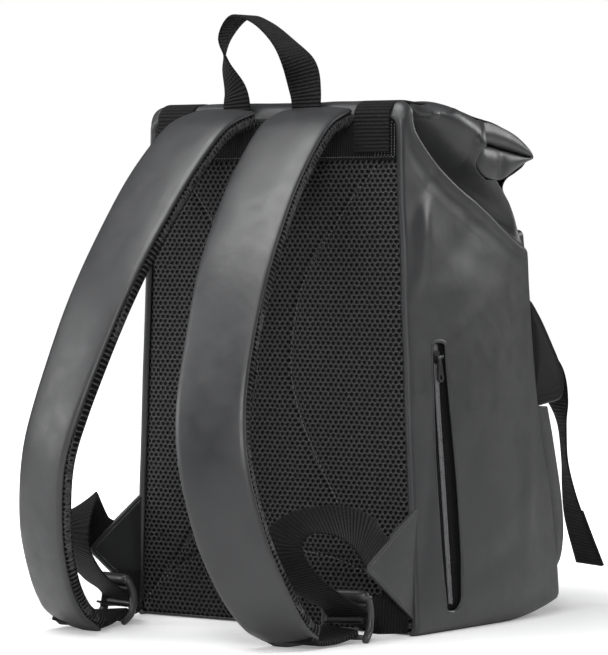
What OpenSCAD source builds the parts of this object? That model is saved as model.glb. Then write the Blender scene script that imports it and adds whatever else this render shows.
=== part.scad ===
// Roll-top backpack, standing on its base.
// +Z is up, the padded back and the shoulder straps face +Y, the pockets face -Y.
// The origin is the centre of the underside of the base.

/* [Bag] */
// Width of the bag at its base
body_w = 310; // [290:1:330]
// Depth of the bag at its base
body_d = 236; // [225:1:245]
// Radius of the two upright front corners
corner_r = 14; // [10:1:20]
// How far each side swells out between its seams
side_swell = 8; // [4:1:12]
// Height of the top edge of the back mesh
mesh_h = 412; // [400:1:420]
// Height of the closed top
top_h = 461; // [456:1:466]
// Thickness of the leather
leather_t = 1.8; // [1.2:0.1:2.2]

/* [Webbing] */
// Width of the closure and shoulder webbing
webbing_w = 38; // [32:1:40]
// Width of the handle webbing
handle_w = 30; // [25:1:32]
// Thickness of all webbing
webbing_t = 1.8; // [1.2:0.1:2]
// Distance of each closure strap from the middle
closure_x = 108; // [100:1:110]

/* [Front pocket] */
// Length of the front pocket across the bag
pocket_w = 276; // [250:2:280]
// How far the pocket stands out at its crest
pocket_out = 56; // [40:1:60]
// Height of the pocket's top seam
pocket_top = 285; // [280:1:288]
// Height of the crest
pocket_crest = 216; // [208:1:222]
// Height of the pocket's bottom seam
pocket_low = 192; // [190:1:195]

/* [Side zip] */
// Length of the side zip opening
side_zip_l = 232; // [200:2:236]
// Width of the side zip opening
side_zip_w = 17; // [15:1:20]

/* [Shoulder strap] */
// Thickness of a shoulder strap
strap_t = 14; // [12:0.5:15]

/* [Hidden] */

leather = [0.32, 0.32, 0.33];
mesh_black = [0.10, 0.10, 0.11];
webbing_black = [0.14, 0.14, 0.15];
plastic = [0.22, 0.22, 0.23];
metal = [0.12, 0.12, 0.12];
board = [0.80, 0.78, 0.72];
lining = [0.25, 0.25, 0.27];

gap = 0.4;                          // clearance between neighbouring pieces
back_y = 110;                       // outer face of the back
half_w_base = body_w / 2;
taper = 17 / 412;                   // each side leans in by this much per millimetre of height
swell_from = 25;                    // the swell is full above this height
swell_to = 300;                     // and fades above this one
rise_from = 130;                    // the base starts to rise this far forward of the back
front_rise = 15;                    // rise of the base at the front
pad_t = 8;                          // thickness of the mesh back padding
roll_out = 172;                     // middle of the rolled mouth, forward of the back
roll_z = 416;                       // height of its middle

// ---------- small helpers ----------

function unit(v) = v / norm(v);
function lerp(a, b, t) = a + (b - a) * t;
function clamp01(t) = min(1, max(0, t));
function last(list) = list[len(list) - 1];

// Catmull-Rom curve through the control rows c, n steps a span; rows may hold any number of values
function spline_at(a, b, c, d, t) =
    0.5 * (2 * b + (c - a) * t + (2 * a - 5 * b + 4 * c - d) * t * t + (3 * b - a - 3 * c + d) * t * t * t);
function spline(c, n) = concat(
    [for (i = [0:len(c) - 2], k = [0:n - 1])
        spline_at(c[max(i - 1, 0)], c[i], c[i + 1], c[min(i + 2, len(c) - 1)], k / n)],
    [last(c)]);

// A thin closed sheet between two grids of points of the same size
module sheet(outer, inner) {
    rows = len(outer);
    cols = len(outer[0]);
    count = rows * cols;
    function at(layer, r, c) = layer * count + r * cols + c;
    outer_faces = [for (r = [0:rows - 2], c = [0:cols - 2], half = [0, 1])
        half == 0 ? [at(0, r, c), at(0, r, c + 1), at(0, r + 1, c + 1)]
                  : [at(0, r, c), at(0, r + 1, c + 1), at(0, r + 1, c)]];
    inner_faces = [for (r = [0:rows - 2], c = [0:cols - 2], half = [0, 1])
        half == 0 ? [at(1, r, c), at(1, r + 1, c + 1), at(1, r, c + 1)]
                  : [at(1, r, c), at(1, r + 1, c), at(1, r + 1, c + 1)]];
    rim = concat(
        [for (c = [0:cols - 2]) [at(0, 0, c), at(1, 0, c)]],
        [for (r = [0:rows - 2]) [at(0, r, cols - 1), at(1, r, cols - 1)]],
        [for (c = [cols - 1:-1:1]) [at(0, rows - 1, c), at(1, rows - 1, c)]],
        [for (r = [rows - 1:-1:1]) [at(0, r, 0), at(1, r, 0)]]);
    rim_faces = [for (i = [0:len(rim) - 1], half = [0, 1])
        let (a = rim[i], b = rim[(i + 1) % len(rim)])
        half == 0 ? [a[0], a[1], b[1]] : [a[0], b[1], b[0]]];
    polyhedron([for (layer = [outer, inner], row = layer, p = row) p],
               concat(outer_faces, inner_faces, rim_faces));
}

// Rows of a flat strap: [place, side direction, face direction, half width].
// A control row is [x, out from the back, height, half width, side x, side y, side z].
function strap_rows(control, steps) =
    let (fine = spline(control, steps), n = len(fine))
    [for (i = [0:n - 1])
        let (
            here = fine[i],
            p = [here[0], back_y + here[1], here[2]],
            after = fine[min(i + 1, n - 1)],
            before = fine[max(i - 1, 0)],
            along = unit([after[0] - before[0], after[1] - before[1], after[2] - before[2]]),
            lean = [here[4], here[5], here[6]],
            side = unit(lean - (lean * along) * along))
        [p, side, cross(along, side), here[3]]];

// A flat strap along rows, from depth low to depth high of its face direction
module strap(rows, low, high) {
    n = len(rows);
    points = [for (r = rows) each [
        r[0] - r[3] * r[1] + low * r[2], r[0] + r[3] * r[1] + low * r[2],
        r[0] + r[3] * r[1] + high * r[2], r[0] - r[3] * r[1] + high * r[2]]];
    // Both faces are split along the same diagonal, so that layers of one strap stay parallel
    walls = [for (i = [0:n - 2], k = [0:3], half = [0, 1])
        let (a = 4 * i + k, b = 4 * i + (k + 1) % 4)
        k == 2 ? (half == 0 ? [a, b, a + 4] : [b, b + 4, a + 4])
               : (half == 0 ? [a, b, b + 4] : [a, b + 4, a + 4])];
    polyhedron(points, concat(walls, [[0, 2, 1], [0, 3, 2]],
        [[4 * n - 4, 4 * n - 3, 4 * n - 2], [4 * n - 4, 4 * n - 2, 4 * n - 1]]));
}

module rounded_rect(w, h, r) {
    hull()
        for (sx = [-1, 1], sy = [-1, 1])
            translate([sx * (w / 2 - r), sy * (h / 2 - r)])
                circle(r, $fn = 24);
}

module on_left() { children(); }
module on_right() { mirror([1, 0, 0]) children(); }

// ---------- shape of the bag ----------

// Half width at the back seam, at height z
function half_w(z) = half_w_base - taper * z;
// Swell of a side at height z, at its middle
function swell(z) = side_swell * clamp01(z / swell_from) * clamp01((430 - z) / (430 - swell_to));
// Distance from the back to the front panel at height z
function depth_profile() = [[0, 236], [60, 233], [110, 226], [150, 217], [190, 210], [290, 199], [335, 192],
                            [376, 174], [396, 158]];
function depth(z) = lookup(z, depth_profile()) * body_d / 236;
// Height of the base's underside, this far forward of the back
function base_z(out) = out < rise_from ? 0 : front_rise * pow((out - rise_from) / (body_d - rise_from), 2);
// Height of the closed top's surface, this far forward of the back
function top_z(out) = lookup(out, [[0, 447], [4, 456], [14, top_h - 1], [40, top_h], [80, top_h - 2],
                                   [118, top_h - 12], [134, top_h - 20]]);
// Height of a side's upper edge: under the leather top, then under the roll
function side_top(out) = lookup(out, [[0, 445], [4, 454], [14, top_h - 3], [80, top_h - 4],
                                      [110, top_h - 14], [126, roll_z - 26]]);

// Plan outline of a side, s = 0 at the back seam, 1 at the middle of the front corner
corner_from = 0.82;
function side_point(s, z, inset) =
    let (
        d = depth(z),
        straight = d - corner_r,
        w = half_w(z))
    s < corner_from
        ? let (k = s / corner_from) [w + swell(z) * sin(180 * k) - inset, back_y - straight * k]
        : let (a = 45 * (s - corner_from) / (1 - corner_from))
          [w - corner_r + (corner_r - inset) * cos(a), back_y - straight - (corner_r - inset) * sin(a)];

// Plan outline of the front, s = 0 at the right corner's middle, 1 at the left one's
arc_part = 0.12;
function front_point(s, z, inset) =
    let (
        centre_x = half_w(z) - corner_r,
        centre_y = back_y - depth(z) + corner_r,
        r = corner_r - inset,
        m = min(s, 1 - s),
        side = s < 0.5 ? -1 : 1,
        a = 45 + 45 * clamp01(m / arc_part),
        flat_x = lerp(centre_x, 0, clamp01((m - arc_part) / (0.5 - arc_part))))
    [side * (flat_x + r * cos(a)), centre_y - r * sin(a)];

side_steps = [for (i = [0:9]) i / 9 * corner_from];
side_all = concat(side_steps, [corner_from + (1 - corner_from) / 2, 1 - 0.01]);
front_steps = [0.012, 0.06, 0.12, 0.3, 0.5, 0.7, 0.88, 0.94, 0.988];

module side_sheet(low, t) {
    levels = [for (k = [0:13]) k / 13];
    function z_at(s, v) =
        let (
            bottom = base_z(back_y - side_point(s, 0, 0)[1]) + low,
            top = side_top(back_y - side_point(s, roll_z, 0)[1]))
        lerp(bottom, top, v);
    function grid(i) = [for (v = levels) [for (s = side_all)
        let (z = z_at(s, v), p = side_point(s, z, i)) [p[0], p[1], z]]];
    sheet(grid(0), grid(t));
}

// ---------- bag panels ----------

module side_panel_left() {
    color(leather)
        side_sheet(leather_t + 2 * gap, leather_t);
}

module side_panel_right() {
    color(leather)
        difference() {
            mirror([1, 0, 0])
                side_sheet(leather_t + 2 * gap, leather_t);
            side_zip_frame()
                rotate([0, 90, 0])
                    linear_extrude(40, center = true)
                        rounded_rect(side_zip_l, side_zip_w, side_zip_w / 2 - 0.5);
        }
}

module front_panel() {
    low = base_z(body_d - 2) + leather_t + 2 * gap;
    levels = [low, 60, 110, 150, 190, 240, 290, 312, 335, 355, 376, 392];
    function grid(inset) = [for (z = levels) [for (s = front_steps)
        let (p = front_point(s, z, inset)) [p[0], p[1], z]]];
    color(leather)
        sheet(grid(0), grid(leather_t));
}

// Half width of the base, this far forward of the back
function base_half(out) =
    let (
        straight = body_d - corner_r,
        over = max(0, out - straight))
    half_w_base - corner_r + sqrt(corner_r * corner_r - over * over);

module base_sheet(low, t, shrink, from_back) {
    straight = body_d - corner_r;
    front = body_d - 1 - shrink;
    outs = [from_back, 60, rise_from, 150, 170, 190, straight, lerp(straight, front, 0.5),
            lerp(straight, front, 0.8), front];
    function grid(lift) = [for (out = outs) [for (u = [-1, -0.5, 0, 0.5, 1])
        [u * (base_half(out) - shrink), back_y - out, base_z(out) + lift]]];
    sheet(grid(low + t), grid(low));
}

module base_panel() {
    color(leather)
        base_sheet(0, leather_t, 0, 0);
}

module base_board() {
    color(board)
        base_sheet(leather_t + gap, 2.5, 6, pad_t + 5);
}

// Mesh-covered padding of the back, with a crowned outer face
module back_mesh_panel() {
    levels = [for (k = [0:10]) lerp(leather_t + gap, mesh_h, k / 10)];
    across = [-1, -0.92, -0.5, 0, 0.5, 0.92, 1];
    function crown(u) = abs(u) > 0.95 ? 2.5 : 0;
    function grid(face) = [for (z = levels) [for (u = across)
        let (y = face == 1 ? back_y - crown(u) : back_y - pad_t)
        [-u * (half_w(z) - 3), y, z]]];
    color(mesh_black)
        sheet(grid(1), grid(0));
}

module back_board() {
    color(board)
        translate([0, back_y - pad_t - gap - 2, 8])
            rotate([90, 0, 0])
                linear_extrude(2, center = true)
                    polygon([[-half_w(0) + 8, 0], [half_w(0) - 8, 0],
                             [half_w(mesh_h) - 8, mesh_h], [-half_w(mesh_h) + 8, mesh_h]]);
}

module yoke_band() {
    color(webbing_black)
        translate([0, back_y - 3, 0])
            rotate([90, 0, 0])
                linear_extrude(5, center = true)
                    polygon([[-half_w(mesh_h) + 3, mesh_h + gap], [half_w(mesh_h) - 3, mesh_h + gap],
                             [half_w(446) - 3, 444.5], [-half_w(446) + 3, 444.5]]);
}

// Leather top: up over the back edge and forward to the roll
module top_collar() {
    outs = [-0.1, 1.5, 5, 14, 40, 80, 118, 130];
    function grid(lower) = [for (out = outs) [for (u = [-1, -0.5, 0, 0.5, 1])
        let (drop = lower * leather_t, back_in = lower * (out < 14 ? leather_t * (1 - out / 14) : 0))
        [-u * (half_w(440) - 0.5), back_y - out - back_in, top_z(out) - drop]]];
    color(leather)
        sheet(grid(0), grid(1));
}

// Rolled mouth of the bag: a flat teardrop roll across the front of the top
module rolled_top() {
    color(leather)
        translate([0, back_y - roll_out, roll_z])
            rotate([90, 0, 90])
                linear_extrude(2 * half_w(416) + 4, center = true)
                    difference() {
                        roll_profile(0);
                        roll_profile(2 * leather_t);
                    }
}

// Section of the roll; the tip points forward, and inset shrinks it
module roll_profile(inset) {
    tip = [-42 + 1.6 * inset, -1];
    polygon(concat(
        [tip],
        [for (a = [-110:20:110]) [17 + (24 - inset) * cos(a), (24 - inset) * sin(a)]]));
}

module laptop_sleeve() {
    color(lining)
        translate([0, back_y - 48, 12])
            rotate([90, 0, 0])
                linear_extrude(4, center = true)
                    polygon([[-118, 0], [118, 0], [112, 300], [-112, 300]]);
}

// ---------- handle ----------

handle_control = [
    [ 38, 2.5, 455, handle_w / 2,  1.0,  0.0, 0],
    [ 40, 2.5, 472, handle_w / 2,  1.0, -0.2, 0],
    [ 50, 3.0, 496, handle_w / 2,  0.8, -0.7, 0],
    [ 51, 3.0, 520, handle_w / 2,  0.3, -1.0, 0],
    [ 34, 3.0, 539, handle_w / 2,  0.0, -1.0, 0],
    [ 10, 3.0, 533, handle_w / 2,  0.0, -1.0, 0],
    [-14, 3.0, 515, handle_w / 2, -0.2, -1.0, 0],
    [-31, 3.0, 494, handle_w / 2, -0.7, -0.7, 0],
    [-37, 2.5, 472, handle_w / 2, -1.0, -0.2, 0],
    [-38, 2.5, 455, handle_w / 2, -1.0,  0.0, 0]];

module handle() {
    color(webbing_black)
        strap(strap_rows(handle_control, 3), -webbing_t / 2, webbing_t / 2);
}

// ---------- closure straps, buckles and tails ----------

buckle_z = 314;                     // parting line of socket and plug
front_lean = atan((depth(290) - depth(335)) / 45);
half_web = webbing_w / 2;

// Places on the closure strap: [x, out, height]; negative out is forward of the back
closure_control = [for (p = [
    [closure_x, 3.2, 418], [closure_x, 3.2, 440], [closure_x, 1.5, 455], [closure_x, -12, top_h + 4],
    [closure_x, -45, top_h + 3.6], [closure_x, -90, top_h + 1], [closure_x, -128, top_h - 9],
    [closure_x, -160, top_h - 16], [closure_x, -195, top_h - 27], [closure_x, -217, 418],
    [closure_x, -214, 396], [closure_x, -203, 372], [closure_x, -198, 355]])
    [p[0], p[1], p[2], half_web, 1, 0, 0]];

module closure_strap() {
    color(webbing_black)
        strap(strap_rows(closure_control, 2), -webbing_t / 2, webbing_t / 2);
}
module closure_strap_left() { on_left() closure_strap(); }
module closure_strap_right() { on_right() closure_strap(); }

// Frame of a buckle: local Z runs up the front panel, local -Y points out of it
module buckle_frame() {
    translate([closure_x, back_y - depth(buckle_z), buckle_z])
        rotate([-front_lean, 0, 0])
            children();
}

socket_w = 50;
socket_h = 28;
socket_t = 10;
cavity_w = 40;
cavity_t = 6.4;
cavity_low = -18.6;                 // bottom of the cavity, below the parting line
socket_y = -2.4 - socket_t / 2;     // middle of the buckle, out from the panel
bar_slot = [-25.5, -21.2];          // slot over the bar that the tab loops round

module buckle_socket() {
    color(plastic)
        buckle_frame()
            translate([0, socket_y, 0])
                difference() {
                    translate([0, 0, -socket_h / 2])
                        rotate([90, 0, 0])
                            linear_extrude(socket_t, center = true)
                                rounded_rect(socket_w, socket_h, 5);
                    translate([-cavity_w / 2, -cavity_t / 2, cavity_low])
                        cube([cavity_w, cavity_t, -cavity_low + 1]);
                    translate([-socket_w / 2 - 1, -cavity_t / 2, -14])
                        cube([socket_w + 2, cavity_t, 8]);
                    translate([-half_web - 0.6, -socket_t, bar_slot[0]])
                        cube([webbing_w + 1.2, 2 * socket_t, bar_slot[1] - bar_slot[0]]);
                }
}
module buckle_socket_left() { on_left() buckle_socket(); }
module buckle_socket_right() { on_right() buckle_socket(); }

// Prongs that fill the socket, and a ladder frame above it for the webbing
module buckle_plug() {
    prong_w = 9;
    guide_w = 8;
    prong_t = 5.2;
    frame_h = 34;
    reach = 17;
    color(plastic)
        buckle_frame()
            translate([0, socket_y, 0])
                union() {
                    difference() {
                        translate([0, 0, gap + frame_h / 2])
                            rotate([90, 0, 0])
                                linear_extrude(8, center = true)
                                    rounded_rect(socket_w, frame_h, 5);
                        for (slot_z = [12, 22])
                            translate([-half_web - 1, -10, slot_z])
                                cube([webbing_w + 2, 20, 5]);
                    }
                    translate([-guide_w / 2, -prong_t / 2, -reach])
                        cube([guide_w, prong_t, reach + 3]);
                    for (side = [-1, 1])
                        translate([side * (cavity_w / 2 - prong_w / 2 - 0.5) - prong_w / 2, -prong_t / 2, -reach])
                            cube([prong_w, prong_t, reach + 3]);
                }
}
module buckle_plug_left() { on_left() buckle_plug(); }
module buckle_plug_right() { on_right() buckle_plug(); }

// Short webbing looped round the socket's bar, its two ends sewn into the pocket's top seam
module buckle_tab() {
    back_face = -0.3;
    front_face = 2 * socket_y + 0.3;
    loop_top = bar_slot[1] - 0.4;
    color(webbing_black)
        buckle_frame()
            rotate([90, 0, 90])
                linear_extrude(webbing_w, center = true)
                    polygon([
                        [back_face, -socket_h], [back_face, loop_top],
                        [front_face, loop_top], [front_face, -socket_h + 1.5],
                        [front_face + webbing_t, -socket_h + 1.5], [front_face + webbing_t, loop_top - webbing_t],
                        [back_face - webbing_t, loop_top - webbing_t], [back_face - webbing_t, -socket_h]]);
}
module buckle_tab_left() { on_left() buckle_tab(); }
module buckle_tab_right() { on_right() buckle_tab(); }

crest_out = depth(pocket_crest) + pocket_out;
// Loose end of the closure webbing, from the plug down over the pocket to its crest
drape_control = [for (p = [
    [closure_x, -(depth(336) + 12.6), 336], [closure_x, -(depth(316) + 17), 316],
    [closure_x, -(depth(290) + 19), 290], [closure_x + 2, -(depth(264) + 23), 264],
    [closure_x + 5, -(crest_out - 19), 240], [closure_x + 9, -(crest_out + 3.6), pocket_crest + 3]])
    [p[0], p[1], p[2], half_web, 1, 0, 0]];
module strap_drape() {
    color(webbing_black)
        strap(strap_rows(drape_control, 2), -webbing_t / 2, webbing_t / 2);
}
module strap_drape_left() { on_left() strap_drape(); }
module strap_drape_right() { on_right() strap_drape(); }

// Hanging tail below the crest, curling away from the bag at its end
tail_control = [for (p = [
    [closure_x + 9, -(crest_out + 4.2), pocket_crest + 1, 1, 0], [closure_x + 13, -(crest_out + 16), 192, 1, 0.4],
    [closure_x + 16, -(crest_out + 20), 168, 1, 0.9], [closure_x + 19, -(crest_out + 19.5), 138, 1, 1.1],
    [closure_x + 22, -(crest_out + 21), 112, 1, 0.75], [closure_x + 25, -(crest_out + 29), 80, 1, 0.4],
    [closure_x + 30, -(crest_out + 46), 38, 1, 0.2]])
    [p[0], p[1], p[2], half_web, p[3], p[4], 0]];
module strap_tail() {
    rows = strap_rows(tail_control, 3);
    n = len(rows);
    hem = [rows[n - 2], rows[n - 1]];
    color(webbing_black) {
        strap(rows, -webbing_t / 2, webbing_t / 2);
        strap(hem, webbing_t / 2, 1.5 * webbing_t);
    }
}
module strap_tail_left() { on_left() strap_tail(); }
module strap_tail_right() { on_right() strap_tail(); }

// ---------- front pocket ----------

function front_y(z) = back_y - depth(z);
pocket_outer = [[front_y(pocket_top) - 0.6, pocket_top], [front_y(pocket_crest) - pocket_out, pocket_crest],
                [front_y(206) - pocket_out + 6, 206], [front_y(pocket_low) - 0.6, pocket_low]];
pocket_inner = [[front_y(pocket_top) - 0.6, pocket_top - 3.6],
                [front_y(pocket_crest) - pocket_out + 2.8, pocket_crest + 0.6],
                [front_y(206) - pocket_out + 8, 208], [front_y(pocket_low) - 0.6, pocket_low + 3.2]];
face_dir = unit(pocket_outer[0] - pocket_outer[1]);
face_angle = atan2(face_dir[1], face_dir[0]);
zip_along = 0.30;                   // the zip lies this far down the sloping face
zip_yz = lerp(pocket_outer[0], pocket_outer[1], zip_along);
front_zip_l = 210;

// Frame of the front zip: local X runs along it, local Z points out of the sloping face
module front_zip_frame() {
    translate([0, zip_yz[0], zip_yz[1]])
        rotate([face_angle, 0, 0])
            children();
}

module front_pocket() {
    color(leather)
        difference() {
            rotate([90, 0, 90])
                linear_extrude(pocket_w, center = true)
                    polygon(concat(pocket_outer, [for (i = [3:-1:0]) pocket_inner[i]]));
            front_zip_frame()
                linear_extrude(30, center = true)
                    rounded_rect(front_zip_l, 12, 5);
        }
}

module front_pocket_gusset() {
    color(mesh_black)
        for (side = [-1, 1])
            translate([side * (pocket_w / 2 + 1.3), 0, 0])
                rotate([90, 0, 90])
                    linear_extrude(1.8, center = true)
                        polygon(pocket_outer);
}

module front_zip_tape() {
    color(mesh_black)
        front_zip_frame()
            translate([-front_zip_l / 2 - 8, -12, -4.6])
                cube([front_zip_l + 16, 24, 0.9]);
}

module front_zip_coil() {
    color(webbing_black)
        front_zip_frame()
            translate([-front_zip_l / 2, -2.5, -3.4])
                cube([front_zip_l, 5, 1.8]);
}

front_slider_x = -72;
module front_zip_slider() {
    color(metal)
        front_zip_frame()
            translate([front_slider_x, 0, 0])
                zip_slider();
}

module front_zip_puller() {
    color(metal)
        front_zip_frame()
            translate([front_slider_x, 0, 0])
                zip_puller();
}

// Slider over a coil that runs along local X with its top at local z = -1.6
slider_pin_z = 2.6;
module zip_slider() {
    difference() {
        union() {
            translate([0, 0, -1.2])
                linear_extrude(2)
                    rounded_rect(11, 8.6, 2.5);
            for (side = [-1, 1])
                translate([0, side * 3.2, slider_pin_z])
                    rotate([90, 0, 0])
                        cylinder(r = 1.9, h = 1.2, center = true, $fn = 24);
            for (side = [-1, 1])
                translate([-1.9, side * 3.2 - 0.6, 0])
                    cube([3.8, 1.2, slider_pin_z]);
        }
        translate([0, 0, slider_pin_z])
            rotate([90, 0, 0])
                cylinder(r = 0.75, h = 20, center = true, $fn = 24);
    }
}

// Puller on a pin through the slider's lugs, hanging along local +X
module zip_puller() {
    translate([0, 0, slider_pin_z])
        rotate([90, 0, 0]) {
            cylinder(r = 0.6, h = 7.4, center = true, $fn = 24);
            cylinder(r = 1.5, h = 4.4, center = true, $fn = 24);
        }
    difference() {
        translate([0, 0, slider_pin_z - 0.8])
            linear_extrude(1.6)
                difference() {
                    hull() {
                        translate([0.8, 0])
                            square([1, 4], center = true);
                        translate([18, 0])
                            circle(4.2, $fn = 32);
                    }
                    translate([18, 0])
                        circle(2, $fn = 24);
                }
    }
}

// Flat slip pocket on the lower front, open at its top
lower_low = 44;
lower_top = 188;
module lower_pocket() {
    out_low = front_y(lower_low) - 0.6;
    rear = [for (z = [lower_top, 150, 110, 60]) [front_y(z) - 0.6, z]];
    out_top = front_y(lower_top) - 14;
    belly = front_y(110) - 18;
    color(leather)
        difference() {
            rotate([90, 0, 90])
                linear_extrude(pocket_w, center = true)
                    polygon(concat([[out_low, lower_low], [out_low - 10, lower_low + 8], [belly, 110],
                                    [out_top, lower_top]], rear));
            rotate([90, 0, 90])
                linear_extrude(pocket_w - 4, center = true)
                    polygon([[out_low + 9, lower_low + 4], [out_low - 8, lower_low + 10], [belly + 2, 110],
                             [out_top + 2, lower_top + 1], [front_y(lower_top) + 9, lower_top + 1]]);
        }
}

// ---------- side zip ----------

side_zip_low = 20;
side_zip_mid = side_zip_low + side_zip_l / 2;
side_zip_out = 43;                  // middle of the zip, forward of the back
side_zip_lean = atan(12 / 234);     // the zip's top lies nearer the back than its foot
side_face_lean = atan(taper);

// Frame of the side zip: local X points out of the side, local Z runs up the zip
module side_zip_frame() {
    translate([-half_w(side_zip_mid) - side_swell * 0.62, back_y - side_zip_out, side_zip_mid])
        rotate([-side_zip_lean, side_face_lean, 0])
            rotate([0, 0, 180])
                children();
}

// Turns the zip pieces, drawn along local X, to run down the side zip
module down_side_zip() {
    side_zip_frame()
        rotate([0, 90, 0])
            children();
}

module side_zip_tape() {
    color(mesh_black)
        side_zip_frame()
            translate([-5.6, -side_zip_w / 2 - 5, -side_zip_l / 2 - 6])
                cube([0.9, side_zip_w + 10, side_zip_l + 12]);
}

module side_zip_coil() {
    color(webbing_black)
        side_zip_frame()
            translate([-4.4, -2.5, -side_zip_l / 2 + 3])
                cube([1.8, 5, side_zip_l - 6]);
}

side_slider_x = -side_zip_l / 2 + 12;
module side_zip_slider() {
    color(metal)
        down_side_zip()
            translate([side_slider_x, 0, -1])
                zip_slider();
}

module side_zip_puller() {
    color(metal)
        down_side_zip()
            translate([side_slider_x, 0, -1])
                zip_puller();
}

// Flat lining bag behind the side zip
module side_pocket_bag() {
    color(lining)
        side_zip_frame()
            difference() {
                translate([-18, 0, 0])
                    cube([20, 50, side_zip_l + 24], center = true);
                translate([-16.4, 0, 0])
                    cube([20, 47, side_zip_l + 21], center = true);
            }
}

// ---------- shoulder straps ----------

strap_control = [
    [ 51,   6, 456, 36, 1, -0.03, 0],
    [ 54,  46, 440, 36, 1, -0.05, 0],
    [ 59,  97, 390, 36, 1, -0.05, 0],
    [ 66, 144, 325, 35, 1, -0.10, 0],
    [ 74, 178, 260, 33, 1, -0.12, 0],
    [ 83, 202, 200, 32, 1, -0.20, 0],
    [ 93, 209, 150, 31, 1, -0.27, 0],
    [103, 200,  95, 31, 1, -0.30, 0],
    [111, 180,  50, 30, 1, -0.34, 0],
    [115, 156,  19, 28, 1, -0.32, 0],
    [118, 128,   2, 24, 1, -0.30, 0]];
tab_control = [
    [119, 121,   5.5, 22, 1, -0.30, 0],
    [122, 102,   2.6, 20, 1, -0.27, 0],
    [124,  82,   4.4, 19, 1, -0.25, 0]];

module strap_leather() {
    color(leather)
        strap(strap_rows(strap_control, 2), 0, leather_t);
}
module strap_foam() {
    color(board)
        strap(strap_rows(strap_control, 2), leather_t + 0.2, strap_t - 2.2);
}
module strap_mesh() {
    color(mesh_black)
        strap(strap_rows(strap_control, 2), strap_t - 2, strap_t);
}
module strap_end_tab() {
    color(webbing_black)
        strap(strap_rows(tab_control, 2), -1.6, 1.6);
}
module strap_leather_left() { on_left() strap_leather(); }
module strap_leather_right() { on_right() strap_leather(); }
module strap_foam_left() { on_left() strap_foam(); }
module strap_foam_right() { on_right() strap_foam(); }
module strap_mesh_left() { on_left() strap_mesh(); }
module strap_mesh_right() { on_right() strap_mesh(); }
module strap_end_tab_left() { on_left() strap_end_tab(); }
module strap_end_tab_right() { on_right() strap_end_tab(); }

lock_at = [126, back_y + 66, 22.5];
lock_turn = -14;                    // turn of the lock about the upright
lock_h = 42;

// Ladder lock: a frame with three bars and a raised thumb lip, standing on its lower bar
module ladder_lock() {
    color(plastic)
        translate(lock_at)
            rotate([8, 0, lock_turn])
                union() {
                    rotate([90, 0, 0])
                        linear_extrude(5, center = true)
                            difference() {
                                rounded_rect(46, lock_h, 6);
                                translate([0, -lock_h / 2 + 8])
                                    square([webbing_w + 1.5, 5], center = true);
                                translate([0, 2])
                                    square([webbing_w + 1.5, 6], center = true);
                            }
                    translate([0, 4, lock_h / 2 - 5])
                        rotate([0, 90, 0])
                            cylinder(r = 5, h = 40, center = true, $fn = 32);
                }
}
module ladder_lock_left() { on_left() ladder_lock(); }
module ladder_lock_right() { on_right() ladder_lock(); }

// Adjuster webbing: out of the wing, round a slack loop and down to the ladder lock
adjuster_control = [
    [152.2,  58,  79, half_web, 0.00,  0.81, -0.59],
    [150,    74,  96, half_web, 0.05,  0.80, -0.60],
    [139,    99, 107, half_web, 0.45,  0.65, -0.60],
    [123,   124, 107, half_web, 0.85,  0.35, -0.40],
    [114,   139,  94, half_web, 0.97,  0.00, -0.20],
    [114,   137,  76, half_web, 0.98, -0.20,  0.00],
    [118,   118,  56, half_web, 0.97, -0.25,  0.00],
    [123,    94,  40, half_web, 0.97, -0.25,  0.00],
    [126,    76,  31, half_web, 0.97, -0.25,  0.00]];
// Its free end, from the lock back to the bag's bottom corner
free_end_control = [
    [126,    57,  15, half_web, 0.97, -0.25,  0.00],
    [126.4,  53,  16, half_web, 0.97, -0.25,  0.00],
    [131,    45,  20, half_web, 0.70, -0.10,  0.60],
    [141,    30,  22, half_web, 0.20,  0.00,  1.00],
    [148,     5,  22, half_web, 0.00,  0.00,  1.00]];
module adjuster_webbing() {
    color(webbing_black)
        for (control = [adjuster_control, free_end_control])
            strap(strap_rows(control, 3), -webbing_t / 2, webbing_t / 2);
}
module adjuster_webbing_left() { on_left() adjuster_webbing(); }
module adjuster_webbing_right() { on_right() adjuster_webbing(); }

// Leather triangle that carries the adjuster webbing at the bottom corner
module corner_wing() {
    color(leather)
        translate([152.2, 0, 0])
            rotate([90, 0, 90])
                linear_extrude(4.2, center = true)
                    polygon([[back_y + 0.5, 109], [back_y + 56, 77], [back_y + 72, 65], [back_y + 0.5, 13]]);
}
module corner_wing_left() { on_left() corner_wing(); }
module corner_wing_right() { on_right() corner_wing(); }

back_mesh_panel();
back_board();
yoke_band();
side_panel_left();
side_panel_right();
front_panel();
base_panel();
base_board();
top_collar();
rolled_top();
laptop_sleeve();
handle();
closure_strap_left();
closure_strap_right();
buckle_tab_left();
buckle_tab_right();
buckle_socket_left();
buckle_socket_right();
buckle_plug_left();
buckle_plug_right();
strap_drape_left();
strap_drape_right();
strap_tail_left();
strap_tail_right();
front_pocket();
front_pocket_gusset();
front_zip_tape();
front_zip_coil();
front_zip_slider();
front_zip_puller();
lower_pocket();
side_zip_tape();
side_zip_coil();
side_zip_slider();
side_zip_puller();
side_pocket_bag();
strap_leather_left();
strap_leather_right();
strap_foam_left();
strap_foam_right();
strap_mesh_left();
strap_mesh_right();
strap_end_tab_left();
strap_end_tab_right();
ladder_lock_left();
ladder_lock_right();
adjuster_webbing_left();
adjuster_webbing_right();
corner_wing_left();
corner_wing_right();
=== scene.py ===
"""Looks of the roll-top leather backpack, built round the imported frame.

Shapes are worked out in millimetres, in the frame's own axes: +Z up, the back and the shoulder
straps towards +Y, the zipped side towards -X. "out" is the distance forward of the back.
make_piece() scales to metres.
"""

import math

import bmesh
import bpy
import numpy as np
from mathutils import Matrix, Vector, noise


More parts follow.
